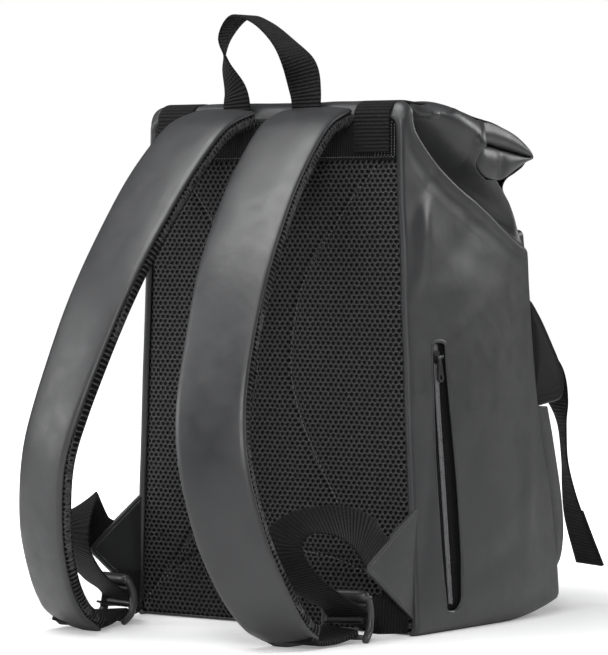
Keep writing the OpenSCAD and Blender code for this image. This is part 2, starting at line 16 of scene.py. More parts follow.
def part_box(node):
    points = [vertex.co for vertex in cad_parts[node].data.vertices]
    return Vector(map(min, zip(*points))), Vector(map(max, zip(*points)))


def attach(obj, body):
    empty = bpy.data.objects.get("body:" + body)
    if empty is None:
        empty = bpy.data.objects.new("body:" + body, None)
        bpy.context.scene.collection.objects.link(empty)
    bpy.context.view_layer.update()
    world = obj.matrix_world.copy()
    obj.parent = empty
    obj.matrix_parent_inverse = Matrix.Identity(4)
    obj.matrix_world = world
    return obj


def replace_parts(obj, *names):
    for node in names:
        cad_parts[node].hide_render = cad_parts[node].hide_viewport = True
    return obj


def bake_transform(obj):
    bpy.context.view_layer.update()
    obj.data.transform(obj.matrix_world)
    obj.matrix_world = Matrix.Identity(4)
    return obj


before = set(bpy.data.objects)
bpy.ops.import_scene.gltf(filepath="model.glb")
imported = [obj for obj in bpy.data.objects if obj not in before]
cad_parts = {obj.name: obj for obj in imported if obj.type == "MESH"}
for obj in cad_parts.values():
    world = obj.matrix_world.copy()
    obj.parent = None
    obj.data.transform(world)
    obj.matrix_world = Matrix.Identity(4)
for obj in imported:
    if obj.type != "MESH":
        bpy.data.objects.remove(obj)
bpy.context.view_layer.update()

# ---------- sizes, taken from the frame where it has them ----------

MM = 0.001


def corners(node):
    """Lowest and highest corner of a CAD node, in millimetres."""
    low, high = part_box(node)
    return np.array(low) / MM, np.array(high) / MM


BASE_LOW, BASE_HIGH = corners("base_panel")
HALF_W = BASE_HIGH[0]
BACK_Y = BASE_HIGH[1]
DEPTH = BACK_Y - BASE_LOW[1] + 1
MESH_TOP = corners("back_mesh_panel")[1][2]
YOKE_LOW, YOKE_HIGH = corners("yoke_band")
TAPER = 17 / 412            # each side leans in by this much per millimetre of height
LEATHER_T = 1.8
WEBBING_T = 1.8
WEBBING_HALF = 19
HANDLE_HALF = 15
CLOSURE_X = 108
SHELL_TOP_Z = 440.0         # the sides are laid out between the base and this height
BACK_R = 2                  # rounding of the upright back edges
CORNER_R = 12               # rounding of the upright front corners
MOUTH_Z = 396               # the front panel ends here, under the roll
RISE_FROM = 130             # the base starts to rise this far out
FRONT_RISE = 15
SIDES = (("left", 1), ("right", -1))


def curve(x, xs, ys):
    """Smooth curve through the points, flat beyond both ends."""
    xs, ys = np.array(xs, float), np.array(ys, float)
    slopes = np.gradient(ys, xs)
    x = np.clip(x, xs[0], xs[-1])
    i = np.clip(np.searchsorted(xs, x, side="right") - 1, 0, len(xs) - 2)
    span = xs[i + 1] - xs[i]
    t = (x - xs[i]) / span
    rise = slopes[i] * span * (t**3 - 2 * t**2 + t) + slopes[i + 1] * span * (t**3 - t**2)
    return ys[i] + (ys[i + 1] - ys[i]) * (3 * t**2 - 2 * t**3) + rise


def step(x, low, high):
    """0 below low, 1 above high, smooth between."""
    t = np.clip((x - low) / (high - low), 0, 1)
    return t * t * (3 - 2 * t)


def half_w(z):
    return HALF_W - TAPER * z


def depth(z):
    heights = [0, 60, 110, 150, 190, 240, 290, 335, 362, 380, 396, 460]
    return curve(z, heights, [236, 233, 226, 217, 210, 205, 202, 198, 189, 175, 158, 158]) * DEPTH / 236


def swell(z, k):
    """Swell of a side at height z, k from 0 at the back to 1 at the front corner."""
    return 8 * np.clip(z / 25, 0, 1) * np.clip((430 - z) / 130, 0, 1) * np.sin(np.pi * np.clip(k, 0, 1))


def base_z(out):
    return FRONT_RISE * (np.maximum(out - RISE_FROM, 0) / (DEPTH - RISE_FROM)) ** 2


def shoulder(out):
    """Reach and height of the rounding between a side and the top, this far forward of the back."""
    grow = step(out, 8, 46)
    return 8 + 7 * grow, 9 + 15 * grow


def top_z(out):
    return curve(out, [0, 4, 14, 40, 80, 101, 126, 134], [447, 455, 460, 461, 460, 456, 450, 447])


# ---------- making meshes ----------


def make_piece(name, points, faces, material, weave=None, slot=None, body="bag"):
    """A smooth mesh piece from points in millimetres. weave holds each point's place on its cloth."""
    mesh = bpy.data.meshes.new(name)
    mesh.from_pydata((np.asarray(points, float) * MM).tolist(), [], [list(map(int, f)) for f in faces])
    mesh.update()
    mesh.polygons.foreach_set("use_smooth", [True] * len(mesh.polygons))
    mesh.materials.append(material)
    if weave is not None:
        attribute = mesh.attributes.new("weave", "FLOAT_VECTOR", "POINT")
        attribute.data.foreach_set("vector", np.asarray(weave, np.float32).ravel())
    piece = bpy.data.objects.new(name, mesh)
    bpy.context.scene.collection.objects.link(piece)
    if body:
        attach(piece, body)
    return piece


def grid_faces(rows, cols, around=False, first=0):
    """Quads of a grid of points, row by row; around closes each row on itself."""
    r, c = np.meshgrid(np.arange(rows - 1), np.arange(cols if around else cols - 1), indexing="ij")
    after = (c + 1) % cols
    quads = np.stack([r * cols + c, r * cols + after, (r + 1) * cols + after, (r + 1) * cols + c], -1)
    return (quads.reshape(-1, 4) + first).tolist()


def face_outwards(piece):
    """Turns every face of a closed piece outwards."""
    work = bmesh.new()
    work.from_mesh(piece.data)
    bmesh.ops.remove_doubles(work, verts=work.verts, dist=0.00001)
    bmesh.ops.recalc_face_normals(work, faces=work.faces)
    work.to_mesh(piece.data)
    work.free()
    return piece


def tube(name, loops, material, weave=None, **where):
    """A closed piece through loops of points, each loop a closed section, with both ends capped."""
    loops = np.asarray(loops, float)
    rows, cols = loops.shape[:2]
    faces = grid_faces(rows, cols, around=True)
    faces += [list(range(cols))[::-1], list(range((rows - 1) * cols, rows * cols))]
    cloth = None if weave is None else np.asarray(weave, float).reshape(-1, 3)
    return face_outwards(make_piece(name, loops.reshape(-1, 3), faces, material, cloth, **where))


def join(name, pieces):
    """Joins pieces into the first one."""
    bpy.ops.object.select_all(action="DESELECT")
    for piece in pieces:
        piece.select_set(True)
    bpy.context.view_layer.objects.active = pieces[0]
    bpy.ops.object.join()
    pieces[0].name = name
    return pieces[0]


def applied(piece):
    """Applies every modifier of a piece."""
    graph = bpy.context.evaluated_depsgraph_get()
    graph.update()
    mesh = bpy.data.meshes.new_from_object(piece.evaluated_get(graph))
    piece.modifiers.clear()
    piece.data = mesh
    return piece


def prism(name, ends):
    """A closed block between two outlines that have the same number of points, to cut with."""
    n = len(ends[0])
    faces = [[i, (i + 1) % n, n + (i + 1) % n, n + i] for i in range(n)]
    faces += [list(range(n))[::-1], list(range(n, 2 * n))]
    return face_outwards(make_piece(name, [p for end in ends for p in end], faces, LEATHER, body=None))


def thicken_and_cut(skin, cutter):
    """Gives a leather skin its thickness and cuts a zip's opening through it."""
    thick = skin.modifiers.new("thickness", "SOLIDIFY")
    thick.thickness = LEATHER_T * MM
    thick.offset = -1
    cut = skin.modifiers.new("zip slot", "BOOLEAN")
    cut.object = cutter
    cut.solver = "EXACT"
    applied(skin)
    skin.data.polygons.foreach_set("use_smooth", [True] * len(skin.data.polygons))
    bpy.data.objects.remove(cutter)


def spline(control, steps):
    """Catmull-Rom curve through the control rows, which hold any number of values."""
    c = np.asarray(control, float)
    rows = []
    for i in range(len(c) - 1):
        before, a, b, after = c[max(i - 1, 0)], c[i], c[i + 1], c[min(i + 2, len(c) - 1)]
        for t in np.arange(steps) / steps:
            rows.append(0.5 * (2 * a + (b - before) * t + (2 * before - 5 * a + 4 * b - after) * t**2
                               + (3 * a - before - 3 * b + after) * t**3))
    return np.array(rows + [c[-1]])


def unit(v):
    return v / np.linalg.norm(v, axis=-1, keepdims=True)


def strap_frames(control, steps):
    """Place, side direction, face direction, half width and length so far, along a strap.
    A control row is [x, out, height, half width, side x, side y, side z]."""
    rows = spline(control, steps)
    place = rows[:, :3] + [0, BACK_Y, 0]
    along = unit(np.gradient(place, axis=0))
    side = rows[:, 4:7]
    side = unit(side - (side * along).sum(1)[:, None] * along)
    face = np.cross(along, side)
    run = np.concatenate([[0], np.cumsum(np.linalg.norm(np.diff(place, axis=0), axis=1))])
    return place, side, face, rows[:, 3], run


def strap(name, frames, section, material, mirrored=False, **where):
    """A strap along frames. Its section is a closed loop of [share of the half width, more, depth]."""
    place, side, face, half, run = frames
    s = np.asarray(section, float)
    lateral = half[:, None] * s[:, 0] + s[:, 1]
    loops = place[:, None] + lateral[..., None] * side[:, None] + s[:, 2][None, :, None] * face[:, None]
    if mirrored:
        loops = loops * [-1, 1, 1]
    weave = np.stack([np.repeat(run[:, None], len(s), 1), lateral, np.zeros_like(lateral)], -1)
    return tube(name, loops, material, weave, **where)


def flat_section(thickness, edge=0.7):
    """Section of webbing: flat, with rounded selvedges."""
    t = thickness / 2
    top = [[u, 0, t] for u in (-0.94, -0.6, -0.2, 0.2, 0.6, 0.94)]
    bottom = [[u, 0, -t] for u in (0.94, 0.6, 0.2, -0.2, -0.6, -0.94)]
    return top + [[1, -0.1, t * edge], [1, 0, 0], [1, -0.1, -t * edge]] + bottom + [
        [-1, 0.1, -t * edge], [-1, 0, 0], [-1, 0.1, t * edge]]


def stitches(name, path, normal, material, pitch=3.2, length=2.3, radius=0.38, **where):
    """A row of thread stitches along a path; normal is the face's direction, for all or for each point."""
    path = np.asarray(path, float)
    normal = np.broadcast_to(np.asarray(normal, float), path.shape)
    run = np.concatenate([[0], np.cumsum(np.linalg.norm(np.diff(path, axis=0), axis=1))])
    centres = np.arange(pitch / 2, run[-1], pitch)
    at = np.stack([np.interp(centres, run, path[:, i]) for i in range(3)], 1)
    ahead = np.stack([np.interp(centres + 0.4, run, path[:, i]) for i in range(3)], 1)
    behind = np.stack([np.interp(centres - 0.4, run, path[:, i]) for i in range(3)], 1)
    up = unit(np.stack([np.interp(centres, run, normal[:, i]) for i in range(3)], 1))
    along = unit(ahead - behind)
    across = np.cross(along, up)
    points, faces = [], []
    for i in range(len(at)):
        first = len(points)
        for share, fat, lift in ((-0.5, 0.35, -0.3), (-0.25, 1, 0.4), (0.25, 1, 0.4), (0.5, 0.35, -0.3)):
            for a in np.arange(6) * math.pi / 3:
                points.append(at[i] + along[i] * share * length + radius * fat * (
                    across[i] * math.cos(a) + up[i] * math.sin(a)) + up[i] * lift * radius)
        faces += grid_faces(4, 6, around=True, first=first)
        faces += [[first + k for k in range(5, -1, -1)], [first + 18 + k for k in range(6)]]
    return face_outwards(make_piece(name, points, faces, material, **where))


# ---------- materials ----------


class Shader:
    """One node material, made by short calls."""

    def __init__(self, name):
        self.material = bpy.data.materials.new(name)
        self.material.use_nodes = True
        self.tree = self.material.node_tree
        self.surface = self.tree.nodes["Principled BSDF"]

    def node(self, kind, inputs, **settings):
        made = self.tree.nodes.new(kind)
        for key, value in settings.items():
            setattr(made, key, value)
        for key, value in inputs.items():
            if isinstance(value, bpy.types.NodeSocket):
                self.tree.links.new(value, made.inputs[key])
            else:
                made.inputs[key].default_value = value
        return made.outputs

    def place(self):
        return self.node("ShaderNodeTexCoord", {})["Object"]

    def weave(self):
        """Place on the cloth in millimetres: along, across."""
        vector = self.node("ShaderNodeAttribute", {}, attribute_name="weave")["Vector"]
        parts = self.node("ShaderNodeSeparateXYZ", {"Vector": vector})
        return vector, parts["X"], parts["Y"]

    def math(self, operation, a, b=0.0):
        return self.node("ShaderNodeMath", {0: a, 1: b}, operation=operation)[0]

    def wave(self, x, pitch, shift=0.0):
        """A sine of x from 0 to 1."""
        turned = self.math("ADD", self.math("MULTIPLY", x, 2 * math.pi / pitch), shift)
        return self.math("MULTIPLY_ADD", self.math("SINE", turned), 0.5)

    def noise(self, vector, scale, detail=2.0):
        return self.node("ShaderNodeTexNoise", {"Vector": vector, "Scale": scale, "Detail": detail})["Fac"]

    def cells(self, vector, scale):
        return self.node("ShaderNodeTexVoronoi", {"Vector": vector, "Scale": scale})["Distance"]

    def span(self, value, low, high, to_low=0.0, to_high=1.0):
        sockets = {"Value": value, "From Min": low, "From Max": high, "To Min": to_low, "To Max": to_high}
        return self.node("ShaderNodeMapRange", sockets, interpolation_type="SMOOTHSTEP")["Result"]

    def mix(self, factor, a, b):
        return self.node("ShaderNodeMix", {0: factor, 6: (*a, 1), 7: (*b, 1)}, data_type="RGBA")[2]

    def bump(self, height, distance, strength=1.0, normal=None):
        inputs = {"Height": height, "Distance": distance, "Strength": strength}
        if normal is not None:
            inputs["Normal"] = normal
        return self.node("ShaderNodeBump", inputs)["Normal"]

    def finish(self, color, roughness, normal=None, **constants):
        for key, value in {"Base Color": color, "Roughness": roughness, "Normal": normal}.items():
            if value is None:
                continue
            if isinstance(value, bpy.types.NodeSocket):
                self.tree.links.new(value, self.surface.inputs[key])
            else:
                self.surface.inputs[key].default_value = value
        for key, value in constants.items():
            self.surface.inputs[key.replace("_", " ")].default_value = value
        return self.material


def leather_material():
    s = Shader("leather")
    place = s.place()
    pores = s.cells(place, 1100)
    grain = s.noise(place, 420, 4)
    cloudy = s.noise(place, 14, 3)
    soft = s.noise(place, 38, 2)
    color = s.mix(s.span(cloudy, 0.3, 0.7), (0.024, 0.0245, 0.026), (0.034, 0.0345, 0.036))
    rough = s.span(s.noise(place, 60, 3), 0.25, 0.75, 0.36, 0.47)
    normal = s.bump(soft, 0.0012, 0.35)
    normal = s.bump(grain, 0.00012, 0.5, normal)
    normal = s.bump(pores, 0.00010, 0.35, normal)
    return s.finish(color, rough, normal, Specular_IOR_Level=0.5, Coat_Weight=0.08, Coat_Roughness=0.35)


def air_mesh_material(name, pitch, row_pair):
    """Spacer mesh: a lattice of small holes, pitch apart in a row, with staggered rows. The holes are not
    cut but painted near black, as painted shade, and bumped.
    """
    s = Shader(name)
    vector, along, across = s.weave()
    wobble = s.math("MULTIPLY", s.math("SUBTRACT", s.noise(vector, 0.09, 1), 0.5), 1.2)
    a = s.math("DIVIDE", s.math("ADD", along, wobble), pitch)
    b = s.math("DIVIDE", s.math("SUBTRACT", across, wobble), row_pair)
    first = s.wave(s.math("ADD", a, b), 1.0, math.pi / 2)
    second = s.wave(s.math("SUBTRACT", a, b), 1.0, math.pi / 2)
    third = s.wave(s.math("MULTIPLY", b, 2.0), 1.0, math.pi / 2)
    lattice = s.math("ADD", s.math("ADD", first, second), third)
    hole = s.span(lattice, 1.1, 1.55)
    thread = s.noise(vector, 1.3, 3)
    lit = s.mix(s.span(thread, 0.3, 0.75), (0.012, 0.012, 0.0125), (0.110, 0.110, 0.114))
    # painted shade: the holes are painted near black where the shade inside them would be
    hole_shade = (0.0008, 0.0008, 0.0009, 1)
    color = s.node("ShaderNodeMix", {0: hole, 6: lit, 7: hole_shade}, data_type="RGBA")[2]
    normal = s.bump(s.math("MULTIPLY", lattice, -1.0), 0.0016, 1.0)
    normal = s.bump(thread, 0.0003, 0.6, normal)
    return s.finish(color, 0.72, normal, Specular_IOR_Level=0.12, Sheen_Weight=0.02, Sheen_Roughness=0.5)


def webbing_material(name, rib, dark=(0.0012, 0.0012, 0.0014), light=(0.030, 0.030, 0.032)):
    """Ribbed webbing: ribs across it, each made of small twisted threads. The tops of the ribs are painted
    lighter as painted sheen, in patches set by noise.
    """
    s = Shader(name)
    vector, along, across = s.weave()
    ribs = s.wave(along, rib)
    shift = s.math("MULTIPLY", s.math("FLOOR", s.math("DIVIDE", along, rib)), math.pi)
    turned = s.math("ADD", s.math("MULTIPLY", across, 2 * math.pi / 1.5), shift)
    threads = s.node("ShaderNodeMath", {0: turned}, operation="SINE")[0]
    height = s.math("ADD", ribs, s.math("MULTIPLY", threads, 0.22))
    # painted sheen: lighter colour on the tops of the ribs, in patches set by noise
    patchy_rib_sheen = s.math("MULTIPLY", s.span(s.noise(vector, 0.5, 3), 0.3, 0.8), s.span(height, 0.62, 1.15))
    color = s.mix(patchy_rib_sheen, dark, light)
    normal = s.bump(height, 0.0007, 1.0)
    return s.finish(color, 0.62, normal, Specular_IOR_Level=0.16, Sheen_Weight=0.03, Sheen_Roughness=0.45)


def cloth_material(name, color, scale=900):
    """Plain woven cloth."""
    s = Shader(name)
    place = s.place()
    parts = s.node("ShaderNodeSeparateXYZ", {"Vector": place})
    pitch = 1 / scale
    warp = s.wave(s.math("ADD", parts["X"], parts["Y"]), pitch)
    weft = s.wave(parts["Z"], pitch)
    height = s.math("MULTIPLY", warp, weft)
    dark = tuple(c * 0.55 for c in color)
    tone = s.mix(s.math("MULTIPLY", height, s.span(s.noise(place, 200), 0.2, 0.8)), dark, color)
    return s.finish(tone, 0.8, s.bump(height, 0.0003, 0.8), Specular_IOR_Level=0.3)


def moulded_material(name, color, roughness, gloss=0.5):
    """Moulded plastic or enamel, with a fine texture and slight wear."""
    s = Shader(name)
    place = s.place()
    fine = s.noise(place, 1500, 2)
    patchy = s.noise(place, 90, 3)
    tone = s.mix(s.span(patchy, 0.3, 0.75), color, tuple(c * 1.25 for c in color))
    rough = s.span(patchy, 0.3, 0.7, roughness - 0.05, roughness + 0.07)
    return s.finish(tone, rough, s.bump(fine, 0.00006, 0.4), Specular_IOR_Level=gloss)


def thread_material():
    s = Shader("thread")
    place = s.place()
    twist = s.wave(s.noise(place, 700, 1), 0.2)
    tone = s.mix(twist, (0.030, 0.030, 0.032), (0.15, 0.15, 0.155))
    return s.finish(tone, 0.55, s.bump(twist, 0.0001, 0.5), Sheen_Weight=0.2)


LEATHER = leather_material()
AIR_MESH = air_mesh_material("air_mesh", 5.5, 8.1)
STRAP_MESH = air_mesh_material("strap_air_mesh", 4.6, 5.0)
WEBBING = webbing_material("webbing", 3.3)
HANDLE_WEB = webbing_material("handle_webbing", 3.2)
YOKE_WEB = webbing_material("yoke_webbing", 2.2)
TAPE = webbing_material("zip_tape", 1.1, (0.003, 0.003, 0.0035), (0.014, 0.014, 0.0155))
BOARD = moulded_material("stiffener", (0.35, 0.34, 0.32), 0.6)
PLASTIC = moulded_material("plastic", (0.034, 0.034, 0.036), 0.36)
COIL = moulded_material("zip_coil", (0.085, 0.085, 0.09), 0.3)
ENAMEL = moulded_material("enamel", (0.012, 0.012, 0.013), 0.3, 0.7)
LINING = cloth_material("lining", (0.06, 0.06, 0.065))
THREAD = thread_material()

# ---------- camera, light and floor ----------

FLOOR_HALF = 6000
FLOOR_Z = -0.4              # just under the base, so that the two faces never share a plane


def make_camera():
    data = bpy.data.cameras.new("camera")
    data.lens = 203.4
    data.clip_end = 100
    camera = bpy.data.objects.new("camera", data)
    camera.location = (-1.946, 2.742, 0.365)
    camera.rotation_euler = (math.radians(90 - 1.7725), 0, math.radians(216))
    bpy.context.scene.collection.objects.link(camera)
    bpy.context.scene.camera = camera


def softbox(name, place, size, power):
    light = bpy.data.lights.new(name, "AREA")
    light.shape = "RECTANGLE"
    light.size, light.size_y = size
    light.energy = power
    lamp = bpy.data.objects.new(name, light)
    lamp.location = place
    target = Vector((0, 0, 0.25))
    lamp.rotation_euler = (target - Vector(place)).to_track_quat("-Z", "Y").to_euler()
    bpy.context.scene.collection.objects.link(lamp)


def make_world():
    """A backdrop that looks white but lights the bag only dimly, so that the lamps model its shape."""
    world = bpy.data.worlds.new("studio")
    world.use_nodes = True
    tree = world.node_tree
    backdrop = tree.nodes["Background"]
    backdrop.inputs["Color"].default_value = (1, 1, 1, 1)
    dim = tree.nodes.new("ShaderNodeBackground")
    dim.inputs["Color"].default_value = (0.95, 0.97, 1, 1)
    dim.inputs["Strength"].default_value = 0.11
    seen = tree.nodes.new("ShaderNodeLightPath")
    mix = tree.nodes.new("ShaderNodeMixShader")
    tree.links.new(seen.outputs["Is Camera Ray"], mix.inputs[0])
    tree.links.new(dim.outputs[0], mix.inputs[1])
    tree.links.new(backdrop.outputs[0], mix.inputs[2])
    tree.links.new(mix.outputs[0], tree.nodes["World Output"].inputs["Surface"])
    bpy.context.scene.world = world


def make_stage():
    make_world()
    bpy.context.scene.view_settings.view_transform = "Standard"
    softbox("top", (0.4, 1.0, 2.7), (2.2, 1.6), 80)
    softbox("left", (2.7, 1.9, 1.2), (1.0, 1.8), 36)
    softbox("right", (-1.7, 2.6, 1.5), (0.7, 1.2), 44)
    softbox("rim", (-1.25, -2.0, 1.25), (1.4, 1.0), 24)
    floor = Shader("floor")
    paint = floor.mix(floor.noise(floor.place(), 3), (0.86, 0.86, 0.86), (0.88, 0.88, 0.88))
    distance = floor.node("ShaderNodeVectorMath", {0: floor.place()}, operation="LENGTH")["Value"]
    seen = floor.node("ShaderNodeLightPath", {})["Is Camera Ray"]
    glow = floor.math("MULTIPLY", seen, floor.span(distance, 0.2, 0.9, 0.25, 1.0))
    floor.surface.inputs["Emission Color"].default_value = (1, 1, 1, 1)
    floor.tree.links.new(glow, floor.surface.inputs["Emission Strength"])
    corners_xy = ((-1, -1), (1, -1), (1, 1), (-1, 1))
    points = [[x * FLOOR_HALF, y * FLOOR_HALF, FLOOR_Z] for x, y in corners_xy]
    ground = make_piece("floor", points, [[0, 1, 2, 3]], floor.finish(paint, 0.6), body=None)


make_camera()
make_stage()

# ---------- leather shell ----------

# The fold of the side: a line of (out, height) where the side panel ends and the tucked gusset begins
FOLD_LINE = spline([[32, 484], [17, 471], [12, 456], [13, 441], [20, 429], [42, 409], [72, 389], [117, 366],
                    [157, 344], [190, 331], [215, 322]], 6)
FOLD_RUN = np.concatenate([[0], np.cumsum(np.linalg.norm(np.diff(FOLD_LINE, axis=0), axis=1))])


def fold_depth(out, z):
    """How far the side is tucked in at (out, height); negative where it bulges."""
    p = np.stack([np.ravel(out), np.ravel(z)], 1)
    a, b = FOLD_LINE[:-1], FOLD_LINE[1:]
    d = b - a
    t = np.clip(((p[:, None] - a) * d).sum(-1) / (d * d).sum(-1), 0, 1)
    gap = p[:, None] - (a + t[..., None] * d)
    distance = np.linalg.norm(gap, axis=-1)
    nearest = distance.argmin(1)
    pick = np.arange(len(p))
    sign = np.sign(d[nearest, 0] * gap[pick, nearest, 1] - d[nearest, 1] * gap[pick, nearest, 0])
    signed = distance[pick, nearest] * sign
    run = (FOLD_RUN[nearest] + t[pick, nearest] * np.diff(FOLD_RUN)[nearest]) / FOLD_RUN[-1]
    strength = curve(run, [0, 0.06, 0.12, 0.25, 0.5, 0.7, 0.85, 0.95],
                     [0.35, 0.6, 0.8, 1.0, 1.05, 0.85, 0.4, 0])
    shape = curve(signed, [-26, -10, -3, 0, 1.8, 4, 8, 16, 28, 42, 58, 90],
                  [0, -0.8, -2.8, -1.8, 9, 22, 33, 38, 28, 8, -3, -3])
    return (shape * strength).reshape(np.shape(out))


# Soft pulls in the sides: middle (out, height), direction, length, width and depth
PULLS = [[22, 350, 80, 30, 10, 4.2],
         [16, 312, 60, 20, 8, 2.0],
         [62, 258, 26, 60, 12, 1.3],
         [14, 210, 10, 26, 9, 0.9],
         [30, 384, 50, 26, 7, -1.3],
         [70, 330, 35, 46, 14, -1.0],
         [150, 240, 65, 60, 16, 0.9],
         [176, 120, 82, 70, 13, 1.1],
         [120, 60, 15, 55, 14, -0.8],
         [20, 120, 80, 60, 9, -0.8]]


def pulls(out, z):
    total = np.zeros(np.shape(z))
    for mid_out, mid_z, turn, length, width, height in PULLS:
        a = math.radians(turn)
        along = (out - mid_out) * math.cos(a) + (z - mid_z) * math.sin(a)
        across = (z - mid_z) * math.cos(a) - (out - mid_out) * math.sin(a)
        total = total + height * np.exp(-(along / length) ** 2 - (across / width) ** 2)
    return total


def side_x(out, z):
    """Distance of the side's surface from the middle plane, at (out, height)."""
    k = (out - BACK_R) / (depth(z) - CORNER_R - BACK_R)
    return half_w(z) + swell(z, k) - fold_depth(out, z) + pulls(out, z)


def shell_columns():
    """Columns from the back edge to the middle of the front: (kind, value)."""
    angles = np.radians(np.linspace(0, 90, 6))
    columns = [("tuck", 0)] + [("back", a) for a in angles]
    columns += [("side", k) for k in np.linspace(0, 1, 112)[1:]]
    columns += [("corner", a) for a in np.radians(np.linspace(0, 90, 12))[1:]]
    columns += [("front", f) for f in np.linspace(0, 1, 26)[1:]]
    return columns


def ear_lip(z):
    """How far the side's front edge stands back where the roll comes out of it."""
    return curve(z, [386, 396, 402, 409, 421, 432, 441, 447], [0, -1, -8, -15, -17, -17, -9, -1])


def shell_half():
    """Points, outward directions and use of one half of the shell, seen as the +X half."""
    columns = shell_columns()
    side_columns = sum(kind in ("tuck", "back", "side") for kind, value in columns)
    heights = np.concatenate([np.linspace(0, 0.03, 6), np.linspace(0.03, 0.70, 60)[1:],
                              np.linspace(0.70, 1, 96)[1:]])
    arc = np.radians(np.linspace(0, 90, 22))[1:]
    over = np.linspace(0, 1, 46)[1:]
    rows = len(heights) + len(arc) + len(over)
    points = np.zeros((rows, len(columns), 3))
    outward = np.zeros_like(points)
    used = np.zeros((rows, len(columns)), bool)
    last_top = top_z(depth(SHELL_TOP_Z) - CORNER_R) - shoulder(depth(SHELL_TOP_Z))[1]
    for c, (kind, value) in enumerate(columns):
        outer = BACK_R * (1 - math.cos(value)) if kind == "back" else 0
        foot = {"tuck": 1.0, "back": outer}.get(kind)
        if kind == "side":
            foot = BACK_R + (depth(0.0) - CORNER_R - BACK_R) * value
            outer = BACK_R + (depth(SHELL_TOP_Z) - CORNER_R - BACK_R) * value
        elif kind == "corner":
            foot = depth(0.0) - CORNER_R * (1 - math.sin(value))
        elif kind == "front":
            foot = depth(0.0)
        bottom = base_z(foot) + 0.6
        reach, rise = shoulder(outer)
        top = top_z(outer) - rise if c < side_columns else last_top
        z = bottom + (top - bottom) * heights
        straight = depth(z) - CORNER_R
        w = half_w(z)
        if kind == "tuck":
            x, out = w - BACK_R - 3, np.full_like(z, 1.4)
        elif kind == "back":
            x, out = w - BACK_R * (1 - math.sin(value)), np.full_like(z, outer)
        elif kind == "side":
            out = BACK_R + (straight - BACK_R) * value
            out = out + ear_lip(z) * step(value, 0.75, 1.0)
            x = side_x(out, z) + 2.4 * step(value, 0.84, 1.0) * step(z, 394, 408)
        elif kind == "corner":
            out = straight + CORNER_R * math.sin(value)
            tucked = fold_depth(out, z) * math.cos(value)
            x = w - CORNER_R * (1 - math.cos(value)) - tucked
            out = out + ear_lip(z) * math.cos(value)
        else:
            x = (w - CORNER_R) * (1 - value)
            out = depth(z) + 1.5 * math.sin(math.pi * value / 2)
        low = np.clip(1 - (z - bottom) / 6, 0, 1)
        x = x - (6 * (1 - np.sqrt(1 - low**2))) * (0 if kind == "front" else 1)
        n = len(z)
        points[:n, c] = np.stack([x, BACK_Y - out, z], 1)
        turn = {"corner": value, "front": math.pi / 2}.get(kind, 0)
        outward[:n, c] = [math.cos(turn), -math.sin(turn), 0]
        used[:n, c] = c < side_columns or z <= MOUTH_Z
        if c < side_columns:
            used[:, c] = True
            flat_x = x[-1] + (fold_depth(out[-1], z[-1]) if kind == "side" else 0)
            edge_out, edge_z = out[-1], z[-1]
            arc_z = edge_z + rise * np.sin(arc)
            if kind == "side":
                edge_out = edge_out + (ear_lip(arc_z) - ear_lip(edge_z)) * step(value, 0.75, 1.0)
            tuck = fold_depth(np.full(len(arc), outer), arc_z) if kind == "side" else 0
            arc_x = flat_x - reach * (1 - np.cos(arc)) - tuck * np.cos(arc) ** 1.2
            points[n:n + len(arc), c] = np.stack([arc_x, BACK_Y - edge_out + 0 * arc, arc_z], 1)
            outward[n:n + len(arc), c] = np.stack([np.cos(arc), 0 * arc, np.sin(arc)], 1)
            last_x, last_y, last_z = points[n + len(arc) - 1, c]
            over_x = last_x * (1 - over)
            pressed = np.clip((WEBBING_HALF + 3 - np.abs(over_x - CLOSURE_X)) / 4, 0, 1)
            sag = (1.5 * np.sin(over * math.pi / 2) + 2.2 * pressed) * step(outer, 5, 40)
            points[n + len(arc):, c] = np.stack([over_x, np.full(len(over), last_y), last_z - sag], 1)
            outward[n + len(arc):, c] = [0, 0, 1]
    return points, outward, used


def ripple(p, size, seed):
    """Smooth noise from -1 to 1 at a place, for waves of about size millimetres."""
    return noise.noise(Vector((p[0] / size + seed, p[1] / size - seed, p[2] / size + 2 * seed)))


def bag_shell():
    half, outward, used = shell_half()
    points = np.concatenate([half, half[:, ::-1][:, 1:] * [-1, 1, 1]], 1)
    outward = np.concatenate([outward, outward[:, ::-1][:, 1:] * [-1, 1, 1]], 1)
    used = np.concatenate([used, used[:, ::-1][:, 1:]], 1)
    rows, cols = used.shape
    flat = points.reshape(-1, 3)
    high = step(flat[:, 2], 250, 430)
    waves = np.array([[ripple(p, 62, 3.1), ripple(p, 26, 7.7)] for p in flat])
    amount = (0.5 + 0.9 * high) * waves[:, 0] + (0.15 + 0.5 * high) * waves[:, 1]
    flat = flat + outward.reshape(-1, 3) * (amount * step(flat[:, 2], 5, 60))[:, None]
    ok = used[:-1, :-1] & used[1:, :-1] & used[:-1, 1:] & used[1:, 1:]
    faces = [f for f, keep in zip(grid_faces(rows, cols), ok.ravel()) if keep]
    shell = make_piece("bag_shell", flat, faces, LEATHER, slot="leather")
    work = bmesh.new()
    work.from_mesh(shell.data)
    bmesh.ops.delete(work, geom=[v for v in work.verts if not v.link_faces], context="VERTS")
    bmesh.ops.remove_doubles(work, verts=work.verts, dist=0.00002)
    bmesh.ops.recalc_face_normals(work, faces=work.faces)
    side = next(f for f in work.faces if f.calc_center_median().x > 0.14 and f.calc_center_median().z < 0.2)
    if side.normal.x < 0:
        bmesh.ops.reverse_faces(work, faces=work.faces)
    work.to_mesh(shell.data)
    work.free()
    thicken_and_cut(shell, slot_cutter())
    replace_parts(shell, "side_panel_left", "side_panel_right", "front_panel", "top_collar")


# ---------- side zip ----------

ZIP_LOW, ZIP_TOP = 17.5, 253
COIL_LOW = ZIP_LOW + 6.5
COIL_STEP = 0.45            # height of one quarter of a tooth


def zip_line(z):
    """Where the zip runs: its distance forward of the back at height z."""
    return 43 - (z - 136) * 12 / 234


